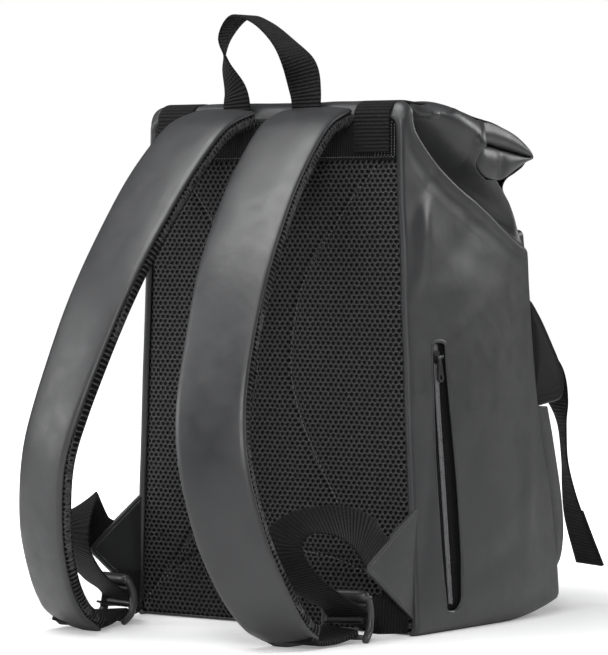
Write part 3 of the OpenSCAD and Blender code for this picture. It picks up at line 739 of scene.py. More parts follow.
def slot_edge(z, side):
    """Edge of the side zip's opening, side -1 towards the back and 1 towards the front."""
    width = curve(z, [22, 50, 112, 200, 253], [10, 12, 12.5, 10, 8] if side < 0 else [11, 14, 15.5, 12, 9])
    top = (1 - np.clip((z - ZIP_TOP + 4) / 4, 0, 1) ** 2.5) ** 0.4
    round_r = 5 if side < 0 else 13
    foot = (1 - np.clip((ZIP_LOW + round_r - z) / round_r, 0, 1) ** 2.2) ** 0.45
    return zip_line(z) + side * width * top * foot


def slot_outline(grow=0.0):
    """Closed outline of the opening as (out, height), grown outwards."""
    ends = np.array([0, 0.15, 0.5, 1, 1.8, 3, 4.5, 7, 10, 14])
    z = np.concatenate([ZIP_LOW + ends, np.linspace(ZIP_LOW + 20, ZIP_TOP - 20, 22), ZIP_TOP - ends[::-1]])
    back = np.stack([slot_edge(z, -1), z], 1)
    front = np.stack([slot_edge(z, 1), z], 1)[::-1]
    outline = np.concatenate([back, front[1:-1]])
    tangent = unit(np.roll(outline, -1, 0) - np.roll(outline, 1, 0))
    return outline + grow * np.stack([-tangent[:, 1], tangent[:, 0]], 1)


def slot_cutter():
    outline = slot_outline()
    ends = [[[x, BACK_Y - out, z] for out, z in outline] for x in (-HALF_W - 25, -HALF_W + 30)]
    return prism("slot_cutter", ends)


def on_side(path, lift=0.0):
    """Points on the zipped side's surface from (out, height)."""
    path = np.asarray(path, float)
    return np.stack([-side_x(path[:, 0], path[:, 1]) - lift, BACK_Y - path[:, 0], path[:, 1]], 1)


def closed_tube(name, path, radius, material, out=(-1, 0, 0), flatten=0.7, sides=8, **where):
    """A rim that follows a closed path, flattened against the face whose direction is out."""
    path, up = np.asarray(path, float), np.array(out, float)
    along = unit(np.roll(path, -1, 0) - np.roll(path, 1, 0))
    across = unit(np.cross(along, up))
    angles = np.arange(sides) * 2 * math.pi / sides
    loops = path[:, None] + radius * (np.cos(angles)[None, :, None] * across[:, None]
                                      + flatten * np.sin(angles)[None, :, None] * up)
    faces = grid_faces(len(path) + 1, sides, around=True)
    faces = [[i % (len(path) * sides) for i in f] for f in faces]
    return face_outwards(make_piece(name, loops.reshape(-1, 3), faces, material, **where))


def coil_piece(name, place, across, up, node, body="bag"):
    """A zip coil along place: two rows of interlocked teeth with a groove between them."""
    place = np.asarray(place, float)
    along = unit(np.gradient(place, axis=0))
    fat = np.where(np.arange(len(place)) % 4 < 2, 1.0, 0.45)
    section = np.array([[-3.3, -0.5], [-3.0, 0.6], [-1.5, 1.1], [-0.4, 0.7], [0, 0.3],
                        [0.4, 0.7], [1.5, 1.1], [3.0, 0.6], [3.3, -0.5]])
    loops = place[:, None] + section[None, :, :1] * across + (section[:, 1] * fat[:, None])[..., None] * up
    loops += along[:, None] * np.where(section[:, :1] < 0, 0.4, -0.4)[None]
    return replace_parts(tube(name, loops, COIL, slot="zip_coil", body=body), node)


def tape_ridges(across):
    """Woven ridges that run along a zip's tape, either side of its coil."""
    ridges = [0.8 * np.exp(-((np.abs(across) - at) / 0.7) ** 2) for at in (5.2, 7.6, 10.0)]
    return sum(ridges)


def side_zip():
    closed_tube("side_zip_rim", on_side(slot_outline(0.9), 0.7), 1.9, LEATHER, slot="leather")
    z = np.linspace(ZIP_LOW - 5, ZIP_TOP + 5, 60)
    across = np.linspace(-19, 19, 77)
    grid = []
    for height in z:
        out = zip_line(height) + across
        level = np.full(len(across), height)
        grid.append(np.stack([-side_x(out, level) + 2.8 - tape_ridges(across), BACK_Y - out, level], 1))
    grid = np.array(grid)
    loops = np.concatenate([grid, (grid + [1.6, 0, 0])[:, ::-1]], 1)
    places = np.tile(np.concatenate([across, across[::-1]]), (len(z), 1))
    weave = np.stack([np.repeat(z[:, None], len(places[0]), 1), places, 0 * places], -1)
    tape = tube("side_zip_tape_cloth", loops, TAPE, weave, slot="zip_fabric")
    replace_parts(tape, "side_zip_tape")
    z = np.arange(COIL_LOW, ZIP_TOP - 1, COIL_STEP)
    path = np.stack([zip_line(z), z], 1)
    place = on_side(path, -2.3)
    coil_piece("side_zip_teeth", place, np.array([0, -1.0, 0]), np.array([-1.0, 0, 0]), "side_zip_coil")
    rows = []
    for side in (-1, 1):
        z = np.linspace(ZIP_LOW + 4, ZIP_TOP - 2, 80)
        path = np.stack([slot_edge(z, side) + side * 4.6, z], 1)
        rows.append(stitches(f"side_zip_stitches_{side}", on_side(path, 0.1), (-1, 0, 0), THREAD))
    join("side_zip_stitches", rows)


# ---------- back panel ----------

# Sewn channels of the padding, as (x, height)
ARC = [[-119, 413], [-100, 395], [-86, 380], [-61, 348], [-42, 322], [-29, 297], [-21, 262],
       [-18.5, 227], [-25, 196], [-38, 165], [-57, 131], [-77, 98], [-99, 67], [-131, 30], [-142, 18]]
LOW_ARC = [[150, 12], [116, 40], [82, 58], [42, 66], [0, 68],
           [-42, 66], [-82, 58], [-116, 40], [-150, 12]]
CHANNELS = [spline(ARC, 8), spline([[-x, z] for x, z in ARC], 8), spline(LOW_ARC, 8)]


def channel_distance(x, z):
    """Distance from (x, height) to the nearest sewn channel."""
    p = np.stack([np.ravel(x), np.ravel(z)], 1)
    nearest = np.full(len(p), 1e9)
    for line in CHANNELS:
        a, d = line[:-1], np.diff(line, axis=0)
        t = np.clip(((p[:, None] - a) * d).sum(-1) / (d * d).sum(-1), 0, 1)
        nearest = np.minimum(nearest, np.linalg.norm(p[:, None] - (a + t[..., None] * d), axis=-1).min(1))
    return nearest.reshape(np.shape(x))


def pad_y(x, z):
    """Outer face of the back padding."""
    edge = np.minimum.reduce([half_w(z) - 2.5 - np.abs(x), MESH_TOP - z, z - 1])
    edge_round = 3.2 * (1 - np.clip(edge / 11, 0, 1)) ** 2
    sewn = 2.8 * np.exp(-(channel_distance(x, z) / 2.6) ** 1.4)
    crown = 1.2 * np.cos(np.pi * x / 330)
    return BACK_Y - 0.6 + crown - edge_round - sewn


def back_pad():
    rows, cols = 170, 120
    t = np.linspace(0, 1, rows)
    z = 2.6 + (MESH_TOP - 2.6) * t
    u = np.linspace(-1, 1, cols)
    zz, uu = np.meshgrid(z, u, indexing="ij")
    foot_round = 26 * (1 - np.sqrt(1 - np.clip(1 - zz / 26, 0, 1) ** 2))
    xx = uu * (half_w(zz) - 2.5 - 0.35 * foot_round)
    front = np.stack([xx, pad_y(xx, zz), zz], -1)
    rear = np.stack([xx, np.full_like(xx, BACK_Y - 8), zz], -1)
    points = np.concatenate([front.reshape(-1, 3), rear.reshape(-1, 3)])
    n = rows * cols
    faces = grid_faces(rows, cols) + [f[::-1] for f in grid_faces(rows, cols, first=n)]
    ring = [c for c in range(cols)] + [r * cols + cols - 1 for r in range(1, rows)]
    ring += [(rows - 1) * cols + c for c in range(cols - 2, -1, -1)]
    ring += [r * cols for r in range(rows - 2, 0, -1)]
    faces += [[a, b, n + b, n + a] for a, b in zip(ring, ring[1:] + ring[:1])]
    weave = np.concatenate([np.stack([xx, zz, 0 * xx], -1).reshape(-1, 3)] * 2)
    pad = face_outwards(make_piece("back_pad", points, faces, AIR_MESH, weave, slot="air_mesh"))
    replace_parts(pad, "back_mesh_panel")
    rows = []
    for i, line in enumerate(CHANNELS):
        run = np.stack([line[:, 0], pad_y(line[:, 0], line[:, 1]) + 0.3, line[:, 1]], 1)
        rows.append(stitches(f"channel_stitches_{i}", run, (0, 1, 0), THREAD,
                             pitch=4.4, length=3.4, radius=0.5))
    join("back_pad_stitches", rows)


def yoke():
    """Ribbed band over the top of the padding, with box stitching at both ends."""
    low, high = YOKE_LOW[2] - 1.5, YOKE_HIGH[2] + 2
    z = np.linspace(low, high, 14)
    loops = []
    x = np.linspace(-1, 1, 60)
    for height in z:
        w = half_w(height) - 2.6
        edge = min(height - low, high - height)
        hem_round = 1.2 * (1 - min(edge / 4, 1)) ** 2
        end_round = 1.8 * (1 - np.clip((1 - np.abs(x)) * w / 7, 0, 1)) ** 2
        y = BACK_Y - 0.5 - hem_round - end_round
        front = np.stack([x * w, y, np.full(60, height)], 1)
        rear = np.stack([x[::-1] * w, np.full(60, BACK_Y - 5.5), np.full(60, height)], 1)
        loops.append(np.concatenate([front, rear]))
    loops = np.array(loops)
    weave = loops[..., [0, 2, 1]] * [1, 1, 0]
    band = tube("yoke", loops, YOKE_WEB, weave, slot="webbing")
    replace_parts(band, "yoke_band")
    rows = []
    for side in (-1, 1):
        edge = side * (half_w(430) - 7)
        for i in range(7):
            x = edge - side * i * 3.4
            line = [[x, BACK_Y - 0.2, low + 3], [x, BACK_Y - 0.2, high - 3]]
            rows.append(stitches(f"yoke_stitches_{side}_{i}", line, (0, 1, 0), THREAD,
                                 pitch=2.6, length=1.9))
    for i, height in enumerate((low + 2.6, high - 2.6)):
        w = half_w(height) - 8
        line = [[-w, BACK_Y - 0.3, height], [w, BACK_Y - 0.3, height]]
        rows.append(stitches(f"yoke_edge_stitches_{i}", line, (0, 1, 0), THREAD))
    join("yoke_stitches", rows)


# ---------- base ----------


def base():
    outs = np.concatenate([[1.0], np.linspace(4, DEPTH - 8, 40), [DEPTH - 4, DEPTH - 1.5]])
    u = np.linspace(-1, 1, 40)
    grid = []
    for out in outs:
        over = max(0, out - (DEPTH - CORNER_R))
        w = HALF_W - 1.0 - CORNER_R + math.sqrt(max(CORNER_R**2 - over**2, 0))
        edge = np.minimum((1 - np.abs(u)) * w, min(out, DEPTH - out))
        z = base_z(out) + 1.6 * (1 - np.clip(edge / 5, 0, 1)) ** 2
        grid.append(np.stack([u * w, np.full(40, BACK_Y - out), z], 1))
    grid = np.array(grid)
    loops = np.concatenate([grid, (grid + [0, 0, LEATHER_T])[:, ::-1]], 1)
    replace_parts(tube("base_sheet", loops, LEATHER, slot="leather"), "base_panel")


# ---------- roll ----------

ROLL_SECTION = spline([[215.5, 417.5], [209, 424.5], [188, 435], [163, 442.3], [144, 446], [130, 445.5],
                       [123, 437], [121, 421], [126, 406], [138, 397.5], [155, 394.5], [169, 396],
                       [188, 404], [206, 411], [214, 413.5], [215.5, 417.5]], 5)[:-1]
SLOT_LINE = np.array([[132, 427], [150, 425.5], [175, 421.5], [211, 414.8]])


def slot_point(p):
    """Nearest point of the roll's slot to a point of its section."""
    t = np.clip((p[:, 0] - 130) / 84, 0, 1)
    out = 134 + 76 * t
    return np.stack([out, np.interp(out, SLOT_LINE[:, 0], SLOT_LINE[:, 1])], 1)


def rolled_mouth():
    """The rolled mouth: a flat teardrop roll whose ends fold in to a slot."""
    inner = slot_point(ROLL_SECTION)
    half = half_w(416) - 4.5
    rings = []
    for share, bulge in ((1, -9), (0.97, -4.5), (0.9, 0.5), (0.75, 3.2), (0.55, 4.2), (0.35, 3.6),
                         (0.18, 2.2), (0.07, 0.9), (0, 0)):
        section = ROLL_SECTION + (inner - ROLL_SECTION) * share
        dent = 3.2 * np.exp(-(((section - [163, 408]) / [7, 11]) ** 2).sum(1))
        rings.append((half + bulge * 0.8 - dent * (share > 0), section))
    loops = [np.stack([-x, BACK_Y - s[:, 0], s[:, 1]], 1) for x, s in rings]
    body = []
    for x in np.linspace(-half + 3, half - 3, 46):
        wave = np.array([[ripple((x, a, b), 40, 1.3), ripple((x, a, b), 40, 5.9)] for a, b in ROLL_SECTION])
        pinch = 1.4 * math.exp(-((abs(x) - CLOSURE_X) / 24) ** 2)
        centre = np.array([160, 420])
        shrink = 1 - pinch / 26
        s = centre + (ROLL_SECTION - centre) * [1, shrink] + 0.8 * wave
        body.append(np.stack([np.full(len(s), x), BACK_Y - s[:, 0], s[:, 1]], 1))
    far = [loop * [-1, 1, 1] for loop in loops][::-1]
    everything = np.array(loops + body + far)
    roll = tube("rolled_mouth", everything, LEATHER, slot="leather")
    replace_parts(roll, "rolled_top")


# ---------- handle ----------

# The handle's webbing, from foot to foot: (x, out, height, side x, side y)
HANDLE = [(38, 2.0, 446, 1.0, 0.0), (38, 2.5, 455, 1.0, 0.0), (40, 2.5, 472, 1.0, -0.2),
          (50, 3.0, 496, 0.8, -0.7), (51, 3.0, 520, 0.3, -1.0), (34, 3.0, 539, 0.0, -1.0),
          (10, 3.0, 533, 0.0, -1.0), (-14, 3.0, 515, -0.2, -1.0), (-31, 3.0, 494, -0.7, -0.7),
          (-37, 2.5, 472, -1.0, -0.2), (-38, 2.5, 455, -1.0, 0.0), (-38, 2.0, 446, -1.0, 0.0)]


def handle():
    rows = [[x, out, z, HANDLE_HALF, side_x, side_y, 0] for x, out, z, side_x, side_y in HANDLE]
    frames = strap_frames(rows, 12)
    web = strap("handle_webbing", frames, flat_section(2.0), HANDLE_WEB, slot="webbing", body=None)
    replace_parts(web, "handle")
    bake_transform(web)


# ---------- closure straps, buckles and tails ----------

CREST_Z = 216


def webbing_row(x, out, z, side_x=1.0, side_y=0.0):
    return [x, out, z, WEBBING_HALF, side_x, side_y, 0]


# Closure strap over the roll, from the back seam to the buckle: (out, height)
CLOSURE = [(2.6, 418), (2.6, 440), (0.6, 454), (-12, 461.8), (-45, 460.6), (-90, 457.8), (-126, 450.6),
           (-145, 447.6), (-163, 444.6), (-190, 436.5), (-211, 426.4), (-218.6, 418), (-211, 408.5),
           (-198, 402.2), (-182, 395.5), (-176.5, 386), (-187.5, 373), (-197, 358), (-201, 346),
           (-200, 338)]
# Loose end of a closure strap: (x from the strap's middle, out, height, twist)
DRAPE = [(0, -205.8, 334, 0), (0, -211.9, 316, 0), (0, -218, 290, 0), (2, -228.5, 264, 0),
         (5, -249.8, 240, 0), (9, -267.2, 219, 0), (13, -279.1, 192, 0.5), (16, -283.1, 168, 1.05),
         (19, -282.6, 138, 1.2), (22, -284.1, 112, 0.9), (25, -292.1, 80, 0.55), (30, -309.1, 38, 0.35)]


def closure_webbing():
    for name, sign in SIDES:
        rows = [webbing_row(CLOSURE_X, out, z) for out, z in CLOSURE]
        web = strap(f"closure_webbing_{name}", strap_frames(rows, 10), flat_section(WEBBING_T), WEBBING,
                    mirrored=sign < 0, slot="webbing", body=None)
        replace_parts(web, f"closure_strap_{name}")
        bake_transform(web)
        rows = [webbing_row(CLOSURE_X + x, out, z, 1.0, twist) for x, out, z, twist in DRAPE]
        tail_frames = strap_frames(rows, 10)
        tail = strap(f"closure_tail_{name}", tail_frames, flat_section(WEBBING_T), WEBBING,
                     mirrored=sign < 0, slot="webbing", body=None)
        place, side, face, half, run = tail_frames
        hem_frames = (place[-14:] + 0.8 * face[-14:], side[-14:], face[-14:], half[-14:] * 1.02, run[-14:])
        hem = strap(f"closure_hem_{name}", hem_frames, flat_section(WEBBING_T * 1.9), WEBBING,
                    mirrored=sign < 0, slot="webbing", body=None)
        tail = join(f"closure_tail_{name}", [tail, hem])
        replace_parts(tail, f"strap_drape_{name}", f"strap_tail_{name}")
        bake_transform(tail)


def painted(node, material):
    """Gives a CAD node that keeps its shape a material."""
    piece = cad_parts[node]
    piece.data.materials.clear()
    piece.data.materials.append(material)
    return piece


def softened(node, material, width):
    """Keeps a CAD node and gives it rounded edges and a material."""
    piece = painted(node, material)
    weld = piece.modifiers.new("weld", "WELD")
    weld.merge_threshold = 0.00002
    bevel = piece.modifiers.new("rounded edges", "BEVEL")
    bevel.width = width * MM
    bevel.segments = 3
    bevel.limit_method = "ANGLE"
    bevel.angle_limit = math.radians(35)
    bevel.harden_normals = False


def kept_nodes():
    for name, _ in SIDES:
        softened(f"buckle_socket_{name}", PLASTIC, 1.0)
        softened(f"buckle_plug_{name}", PLASTIC, 0.9)
        painted(f"buckle_tab_{name}", LINING)
    for node in ("side_zip_slider", "side_zip_puller", "front_zip_slider", "front_zip_puller"):
        softened(node, ENAMEL, 0.35)
    for node, material in (("back_board", BOARD), ("base_board", BOARD), ("laptop_sleeve", LINING),
                           ("side_pocket_bag", LINING)):
        painted(node, material)


# ---------- front pockets ----------

POCKET_HALF = corners("front_pocket")[1][0]


def pocket_profile():
    """Section of the front pocket, from its top seam down: (reach out of the front panel, height)."""
    return spline([[-1.5, 285], [4, 284.5], [20, 268], [38, 244], [50, 226], [55.4, 213],
                   [54.5, 202], [47, 194], [24, 191], [-1.5, 188.5]], 7)


def front_pocket():
    """Wedge pocket with a piped edge and a ribbed textile gusset at each end."""
    profile = pocket_profile()
    shares = np.concatenate([[-1, -0.995, -0.985], np.linspace(-0.96, 0.96, 50), [0.985, 0.995, 1]])
    xs = shares * (POCKET_HALF + 1)
    bulge = np.sin(np.pi * np.linspace(0, 1, len(profile)))
    outer = []
    for x in xs:
        edge = (POCKET_HALF + 1 - abs(x)) / 7
        drop = 2.2 * (1 - min(edge, 1)) ** 2
        wave = np.array([ripple((x, a, b), 48, 4.2) for a, b in profile])
        shrink = np.clip(profile[:, 0] / 56, 0, 1)
        puff = 2.0 * math.cos(math.pi * x / (2 * POCKET_HALF + 60)) * bulge
        reach = profile[:, 0] + (0.9 * wave - drop + puff) * shrink
        y = BACK_Y - depth(profile[:, 1]) - reach
        outer.append(np.stack([np.full(len(profile), x), y, profile[:, 1]], 1))
    outer = np.array(outer)
    rows, cols = outer.shape[:2]
    skin = make_piece("front_pocket_shell", outer.reshape(-1, 3), grid_faces(rows, cols), LEATHER,
                      slot="leather")
    work = bmesh.new()
    work.from_mesh(skin.data)
    work.faces.ensure_lookup_table()
    if work.faces[len(work.faces) // 2].normal.y > 0:
        bmesh.ops.reverse_faces(work, faces=work.faces)
    work.to_mesh(skin.data)
    work.free()
    thicken_and_cut(skin, front_slot_cutter())
    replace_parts(skin, "front_pocket")
    gussets = []
    for side in (-1, 1):
        rings = []
        middle = np.array([12.0, 242.0])
        for share, bulge in ((0.0, -2.0), (0.015, 1.0), (0.05, 2.6), (0.09, 1.2), (0.13, 3.4), (0.18, 2.0),
                             (0.23, 4.2), (0.29, 3.4), (0.45, 5.4), (0.7, 6.6), (0.9, 7.0)):
            p = profile + (middle - profile) * share
            x = side * (POCKET_HALF + bulge * 0.8)
            y = BACK_Y - depth(p[:, 1]) - p[:, 0] + 0.5
            rings.append(np.stack([np.full(len(p), x), y, p[:, 1]], 1))
        rings.insert(0, rings[0] * [0, 1, 1] + [side * (POCKET_HALF - 4), 0, 0])
        rings = np.array(rings)
        weave = rings[..., [2, 1, 0]] * [1, 1, 0]
        gussets.append(tube(f"front_gusset_{side}", rings, TAPE, weave, slot="zip_fabric"))
    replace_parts(join("front_pocket_gussets", gussets), "front_pocket_gusset")


FACE_DROP = 285 - CREST_Z   # height of the pocket's sloping face, from its top seam to its crest
FACE_REACH = 63.25          # how far that face comes forward
ZIP_SLOPE = math.atan2(FACE_DROP, FACE_REACH)
FRONT_ZIP = np.array([0, -108.81, 264.3])   # middle of the front zip, on the face
FRONT_ZIP_HALF = 105


def front_zip_place(x, along_face, lift):
    """A point near the front zip: x along it, along_face down the pocket's face, lift out of it."""
    down = np.array([0, -math.cos(ZIP_SLOPE), -math.sin(ZIP_SLOPE)])
    up = np.array([0, -math.sin(ZIP_SLOPE), math.cos(ZIP_SLOPE)])
    return FRONT_ZIP + np.array([1.0, 0, 0]) * x + down * along_face + up * lift


def front_slot_outline(grow=0.0):
    half, r = 6 + grow, 5 + grow
    points = []
    for sx, sy, start in ((1, 1, 0), (-1, 1, 90), (-1, -1, 180), (1, -1, 270)):
        for a in np.radians(np.linspace(start, start + 90, 6)):
            x = sx * (FRONT_ZIP_HALF + grow - r) + r * math.cos(a)
            points.append([x, sy * (half - r) + r * math.sin(a)])
    return points


def front_slot_cutter():
    outline = front_slot_outline()
    ends = [[front_zip_place(x, s, lift) for x, s in outline] for lift in (-16, 16)]
    return prism("front_slot_cutter", ends)


def front_zip():
    up = front_zip_place(0, 0, 1) - front_zip_place(0, 0, 0)
    path = [front_zip_place(x, s, 0.4) for x, s in front_slot_outline(0.8)]
    closed_tube("front_zip_rim", path, 1.3, LEATHER, out=up, slot="leather")
    xs = np.linspace(-FRONT_ZIP_HALF - 8, FRONT_ZIP_HALF + 8, 60)
    across = np.linspace(-12, 12, 9)
    loops, weave = [], []
    for x in xs:
        face = [front_zip_place(x, s, -3.7 + 0.5 * (abs(s) / 12) ** 2) for s in across]
        back = [front_zip_place(x, s, -4.7) for s in across[::-1]]
        loops.append(face + back)
        weave.append([[x, s, 0] for s in [*across, *across[::-1]]])
    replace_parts(tube("front_zip_tape_cloth", loops, TAPE, weave, slot="zip_fabric"), "front_zip_tape")
    xs = np.arange(-FRONT_ZIP_HALF + 2, FRONT_ZIP_HALF - 2, COIL_STEP)
    place = np.array([front_zip_place(x, 0, -2.6) for x in xs])
    down = front_zip_place(0, 1, 0) - front_zip_place(0, 0, 0)
    coil_piece("front_zip_teeth", place, down, up, "front_zip_coil")


def lower_pocket():
    """Slip pocket: a pillow that stands proud of the lower front from corner to corner."""
    profile = spline([[-1, 42], [6, 44], [14, 53], [21, 72], [24, 95], [25, 128], [25, 160],
                      [23, 183], [22, 188.5]], 8)
    shares = np.concatenate([np.linspace(-1, -0.9, 18), np.linspace(-0.88, 0.88, 40),
                             np.linspace(0.9, 1, 18)])
    half = half_w(profile[:, 1]) - 0.6
    outer, inner = [], []
    for share in shares:
        edge = np.clip((1 - abs(share)) * half / 10, 0, 1)
        rounding = (1 - (1 - edge) ** 3) ** (1 / 3)
        wave = np.array([ripple((share * 150, a, b), 50, 8.4) for a, b in profile])
        back = 10 * (1 - edge) ** 2.5
        reach = profile[:, 0] * rounding + 0.9 * wave * edge - back
        x = share * half
        y = BACK_Y - depth(profile[:, 1]) - reach
        outer.append(np.stack([x, y, profile[:, 1]], 1))
        inner.append(np.stack([x * 0.985, y + 1.9, profile[:, 1]], 1))
    loops = np.concatenate([np.array(outer), np.array(inner)[:, ::-1]], 1)
    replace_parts(tube("slip_pocket", loops, LEATHER, slot="leather"), "lower_pocket")
    stitch_z = 180.0
    stitch_y = BACK_Y - float(depth(stitch_z)) - 24.4
    line = [[x, stitch_y, stitch_z] for x in np.linspace(-1, 1, 40) * (half_w(stitch_z) - 20)]
    stitches("slip_pocket_stitches", line, (0, -1, 0), THREAD)


# ---------- shoulder straps ----------

# Routes of straps: [x, out behind the back, height, half width, side x, side y, side z]
STRAP = [[51, 6, 456, 36, 1, -0.03, 0], [54, 46, 440, 36, 1, -0.05, 0], [59, 97, 390, 36, 1, -0.05, 0],
         [66, 144, 325, 35, 1, -0.10, 0], [74, 178, 260, 33, 1, -0.12, 0], [83, 202, 200, 32, 1, -0.20, 0],
         [93, 209, 150, 31, 1, -0.27, 0], [103, 200, 95, 31, 1, -0.30, 0], [111, 180, 50, 30, 1, -0.34, 0],
         [115, 156, 19, 28, 1, -0.32, 0], [118, 128, 2, 24, 1, -0.30, 0]]
TAB = [[118.0, 136, 7.5, 23, 1, -0.30, 0], [118.6, 125, 4.5, 23, 1, -0.30, 0],
       [122, 104, 4.6, 21, 1, -0.27, 0], [124.5, 86, 7.0, 19, 1, -0.25, 0],
       [125.6, 73, 10.5, 19, 1, -0.25, 0]]


def leather_section():
    """Outer face of a shoulder strap: crowned, with edges that turn inwards."""
    face = [[u, 0, -1.4 + 2.4 * abs(u) ** 3] for u in np.linspace(-0.95, 0.95, 17)]
    right = [[1, -0.6, 1.7], [1, 0, 2.9], [1, -0.2, 4.0], [1, -1.2, 4.6]]
    left = [[-u, -e, d] for u, e, d in right[::-1]]
    inside = [[u, 0, 5.0] for u in (0.9, 0.45, 0, -0.45, -0.9)]
    return face + right + inside + left


def mesh_section():
    """Inner half of a shoulder strap: puffed spacer mesh."""
    right = [[0.93, 0, 4.2], [1, -1.6, 4.6], [1, -0.1, 5.6], [1, 0.5, 8.0], [1, 0.4, 11.0], [1, -0.6, 13.6],
             [1, -3.0, 15.2]]
    left = [[-u, -e, d] for u, e, d in right[::-1]]
    back = [[u, 0, 16.2 - 0.9 * abs(u) ** 2.5] for u in np.linspace(0.8, -0.8, 13)]
    return right + back + left


def shoulder_straps():
    for name, sign in SIDES:
        frames = strap_frames(STRAP, 14)
        place, side, face, half, run = frames
        wave = np.array([ripple((p[0] * sign, p[1], p[2]), 55, 2.2) for p in place])
        frames = (place + face * 0.9 * wave[:, None] * step(run, 20, 90)[:, None], side, face, half, run)
        top = strap(f"strap_face_{name}", frames, leather_section(), LEATHER, mirrored=sign < 0,
                    slot="leather", body=None)
        inner = strap(f"strap_lining_{name}", frames, mesh_section(), STRAP_MESH, mirrored=sign < 0,
                      slot="air_mesh", body=None)
        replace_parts(top, f"strap_leather_{name}", f"strap_foam_{name}")
        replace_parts(inner, f"strap_mesh_{name}")
        for piece in (top, inner):
            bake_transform(piece)
        tab = strap(f"strap_tab_{name}", strap_frames(TAB, 10), flat_section(5.0), WEBBING,
                    mirrored=sign < 0, slot="webbing", body=f"shoulder_strap_{name}")
        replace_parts(tab, f"strap_end_tab_{name}")


# ---------- ladder locks, adjuster webbing and wings ----------

LOCK_TILT, LOCK_TURN = math.radians(8), math.radians(-14)
LOCK_AT = np.array([126, BACK_Y + 66, 22.5])


def lock_place(points, sign):
    """Points from the lock's own axes (across, towards the strap, up) to the frame."""
    p = np.asarray(points, float)
    c, s = math.cos(LOCK_TILT), math.sin(LOCK_TILT)
    tilted = np.stack([p[..., 0], p[..., 1] * c - p[..., 2] * s, p[..., 1] * s + p[..., 2] * c], -1)
    c, s = math.cos(LOCK_TURN), math.sin(LOCK_TURN)
    turned = np.stack([tilted[..., 0] * c - tilted[..., 1] * s, tilted[..., 0] * s + tilted[..., 1] * c,
                       tilted[..., 2]], -1)
    return (turned + LOCK_AT) * [sign, 1, 1]


def lock_bar(name, y, z, ry, rz, half, sign):
    """A cross bar of the lock with rounded ends."""
    loops = []
    a = np.arange(16) * math.pi / 8
    for x in np.concatenate([[-1, -0.985, -0.95, -0.9], np.linspace(-0.8, 0.8, 9), [0.9, 0.95, 0.985, 1]]):
        fat = (1 - abs(x) ** 9) ** 0.5 if abs(x) < 1 else 0.12
        ring_y = y + ry * fat * np.cos(a)
        ring_z = z + rz * fat * np.sin(a)
        loops.append(np.stack([np.full(len(a), x * half), ring_y, ring_z], 1))
    return tube(name, lock_place(loops, sign), PLASTIC, slot="plastic", body=None)


def lock_rail(name, x, sign):
    """A side rail of the lock, bent like a bracket round its bars."""
    path = spline([[5, 17], [1, 12], [-3.4, 4], [-4.6, -5], [-2.8, -13], [3, -19.5], [5.5, -20.8]], 6)
    along = unit(np.gradient(path, axis=0))
    across = np.stack([along[:, 1], -along[:, 0]], 1)
    a = np.arange(14) * math.pi / 7
    loops = []
    for i, (y, z) in enumerate(path):
        end = min(i, len(path) - 1 - i) / 3
        fat = 0.45 + 0.55 * min(end, 1)
        flat = np.sign(np.cos(a)) * np.abs(np.cos(a)) ** 0.7
        high = np.sign(np.sin(a)) * np.abs(np.sin(a)) ** 0.7
        loops.append(np.stack([x + 3.2 * fat * flat, y + across[i, 0] * 3.3 * fat * high,
                               z + across[i, 1] * 3.3 * fat * high], 1))
    return tube(name, lock_place(loops, sign), PLASTIC, slot="plastic", body=None)


def ladder_locks():
    for name, sign in SIDES:
        parts = [lock_rail("rail_a", -20.5, sign),
                 lock_rail("rail_b", 20.5, sign),
                 lock_bar("bar_low", 3.4, -18.6, 2.6, 2.4, 20, sign),
                 lock_bar("bar_mid", -4.0, -4, 2.2, 2.6, 20, sign),
                 lock_bar("bar_high", -0.5, 9, 2.6, 2.6, 20, sign),
                 lock_bar("lip", 4.5, 16.5, 5.2, 5.0, 22, sign)]
        lock = join(f"ladder_lock_body_{name}", parts)
        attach(lock, f"ladder_lock_{name}")
        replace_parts(lock, f"ladder_lock_{name}")


# The long slack loop and the free end: [x, out behind the back, height, side x, side y, side z]
ADJUSTER = [[151, 44, 70, 0.00, 0.81, -0.59], [151, 58, 77, 0.00, 0.81, -0.59],
            [149, 74, 94, 0.05, 0.80, -0.60], [139, 99, 105, 0.45, 0.65, -0.60],
            [123, 124, 105, 0.85, 0.35, -0.40], [114, 139, 92, 0.97, 0.00, -0.20],
            [114, 137, 75, 0.98, -0.20, 0.00], [118, 118, 55, 0.97, -0.25, 0.00],
            [123, 94, 40, 0.97, -0.25, 0.00], [126, 72, 29, 0.97, -0.25, 0.00],
            [126, 63, 21, 0.97, -0.25, 0.00]]
FREE_END = [[126, 71, 17, 0.97, -0.25, 0.00], [126, 61, 15, 0.97, -0.25, 0.00],
            [132, 47, 20, 0.70, -0.10, 0.60], [141, 30, 22, 0.20, 0.00, 1.00],
            [148, 5, 22, 0.00, 0.00, 1.00]]


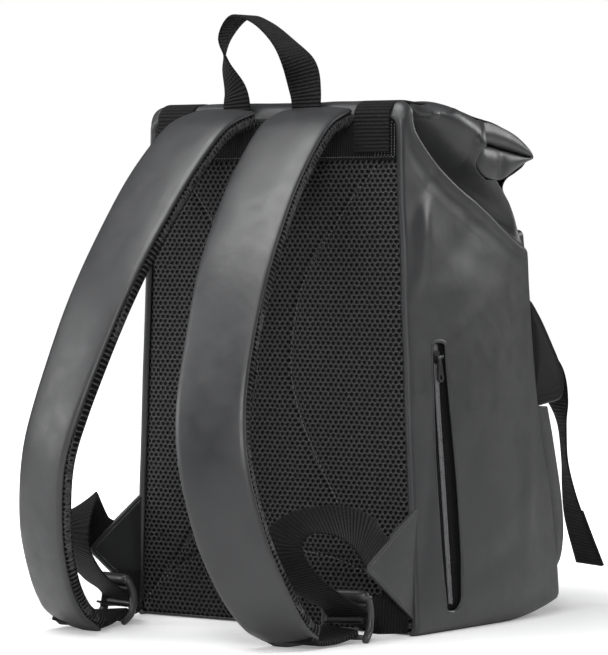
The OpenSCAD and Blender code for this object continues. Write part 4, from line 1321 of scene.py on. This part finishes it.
def adjusters():
    for name, sign in SIDES:
        parts = []
        for i, rows in enumerate((ADJUSTER, FREE_END)):
            frames = strap_frames([[*row[:3], WEBBING_HALF, *row[3:]] for row in rows], 10)
            parts.append(strap(f"adjuster_{i}_{name}", frames, flat_section(WEBBING_T), WEBBING,
                               mirrored=sign < 0, slot="webbing", body=None))
        web = join(f"adjuster_web_{name}", parts)
        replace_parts(web, f"adjuster_webbing_{name}")
        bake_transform(web)


# Outline of a corner wing: (distance behind the back, height)
WING = np.array([[-4, 110], [0.5, 108.5], [28, 93], [56, 77], [70, 68.5], [72.5, 65.5],
                 [70.5, 61.5], [48, 45.5], [24, 29], [0.5, 13.5], [-4, 11]])


def wings():
    for name, sign in SIDES:
        centre = np.array([20, 62])
        loops = []
        for x, shrink in ((148.4, 2.0), (148.7, 0.5), (149.4, 0.0),
                          (151.6, 0.0), (152.3, 0.5), (152.6, 2.0)):
            outline = WING + unit(centre - WING) * shrink
            across = np.full(len(outline), sign * x)
            loops.append(np.stack([across, BACK_Y + outline[:, 0], outline[:, 1]], 1))
        wing = tube(f"wing_{name}", loops, LEATHER, slot="leather")
        bevel = wing.modifiers.new("edge", "BEVEL")
        bevel.width = 0.4 * MM
        bevel.segments = 2
        bevel.limit_method = "ANGLE"
        applied(wing)
        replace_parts(wing, f"corner_wing_{name}")
        rows = []
        for face in (148.3, 152.7):
            hem = [[sign * face, BACK_Y + 2, 104.5], [sign * face, BACK_Y + 66, 66.4]]
            low = [[sign * face, BACK_Y + 2, 18], [sign * face, BACK_Y + 66, 62.3]]
            normal = (sign * (1 if face > 150 else -1), 0, 0)
            for i, line in enumerate((hem, low)):
                rows.append(stitches(f"wing_row_{face}_{i}_{name}", line, normal, THREAD,
                                     pitch=2.8, length=2.0))
        join(f"wing_stitches_{name}", rows)


bag_shell()
side_zip()
back_pad()
yoke()
base()
rolled_mouth()
handle()
closure_webbing()
kept_nodes()
front_pocket()
front_zip()
lower_pocket()
shoulder_straps()
ladder_locks()
adjusters()
wings()
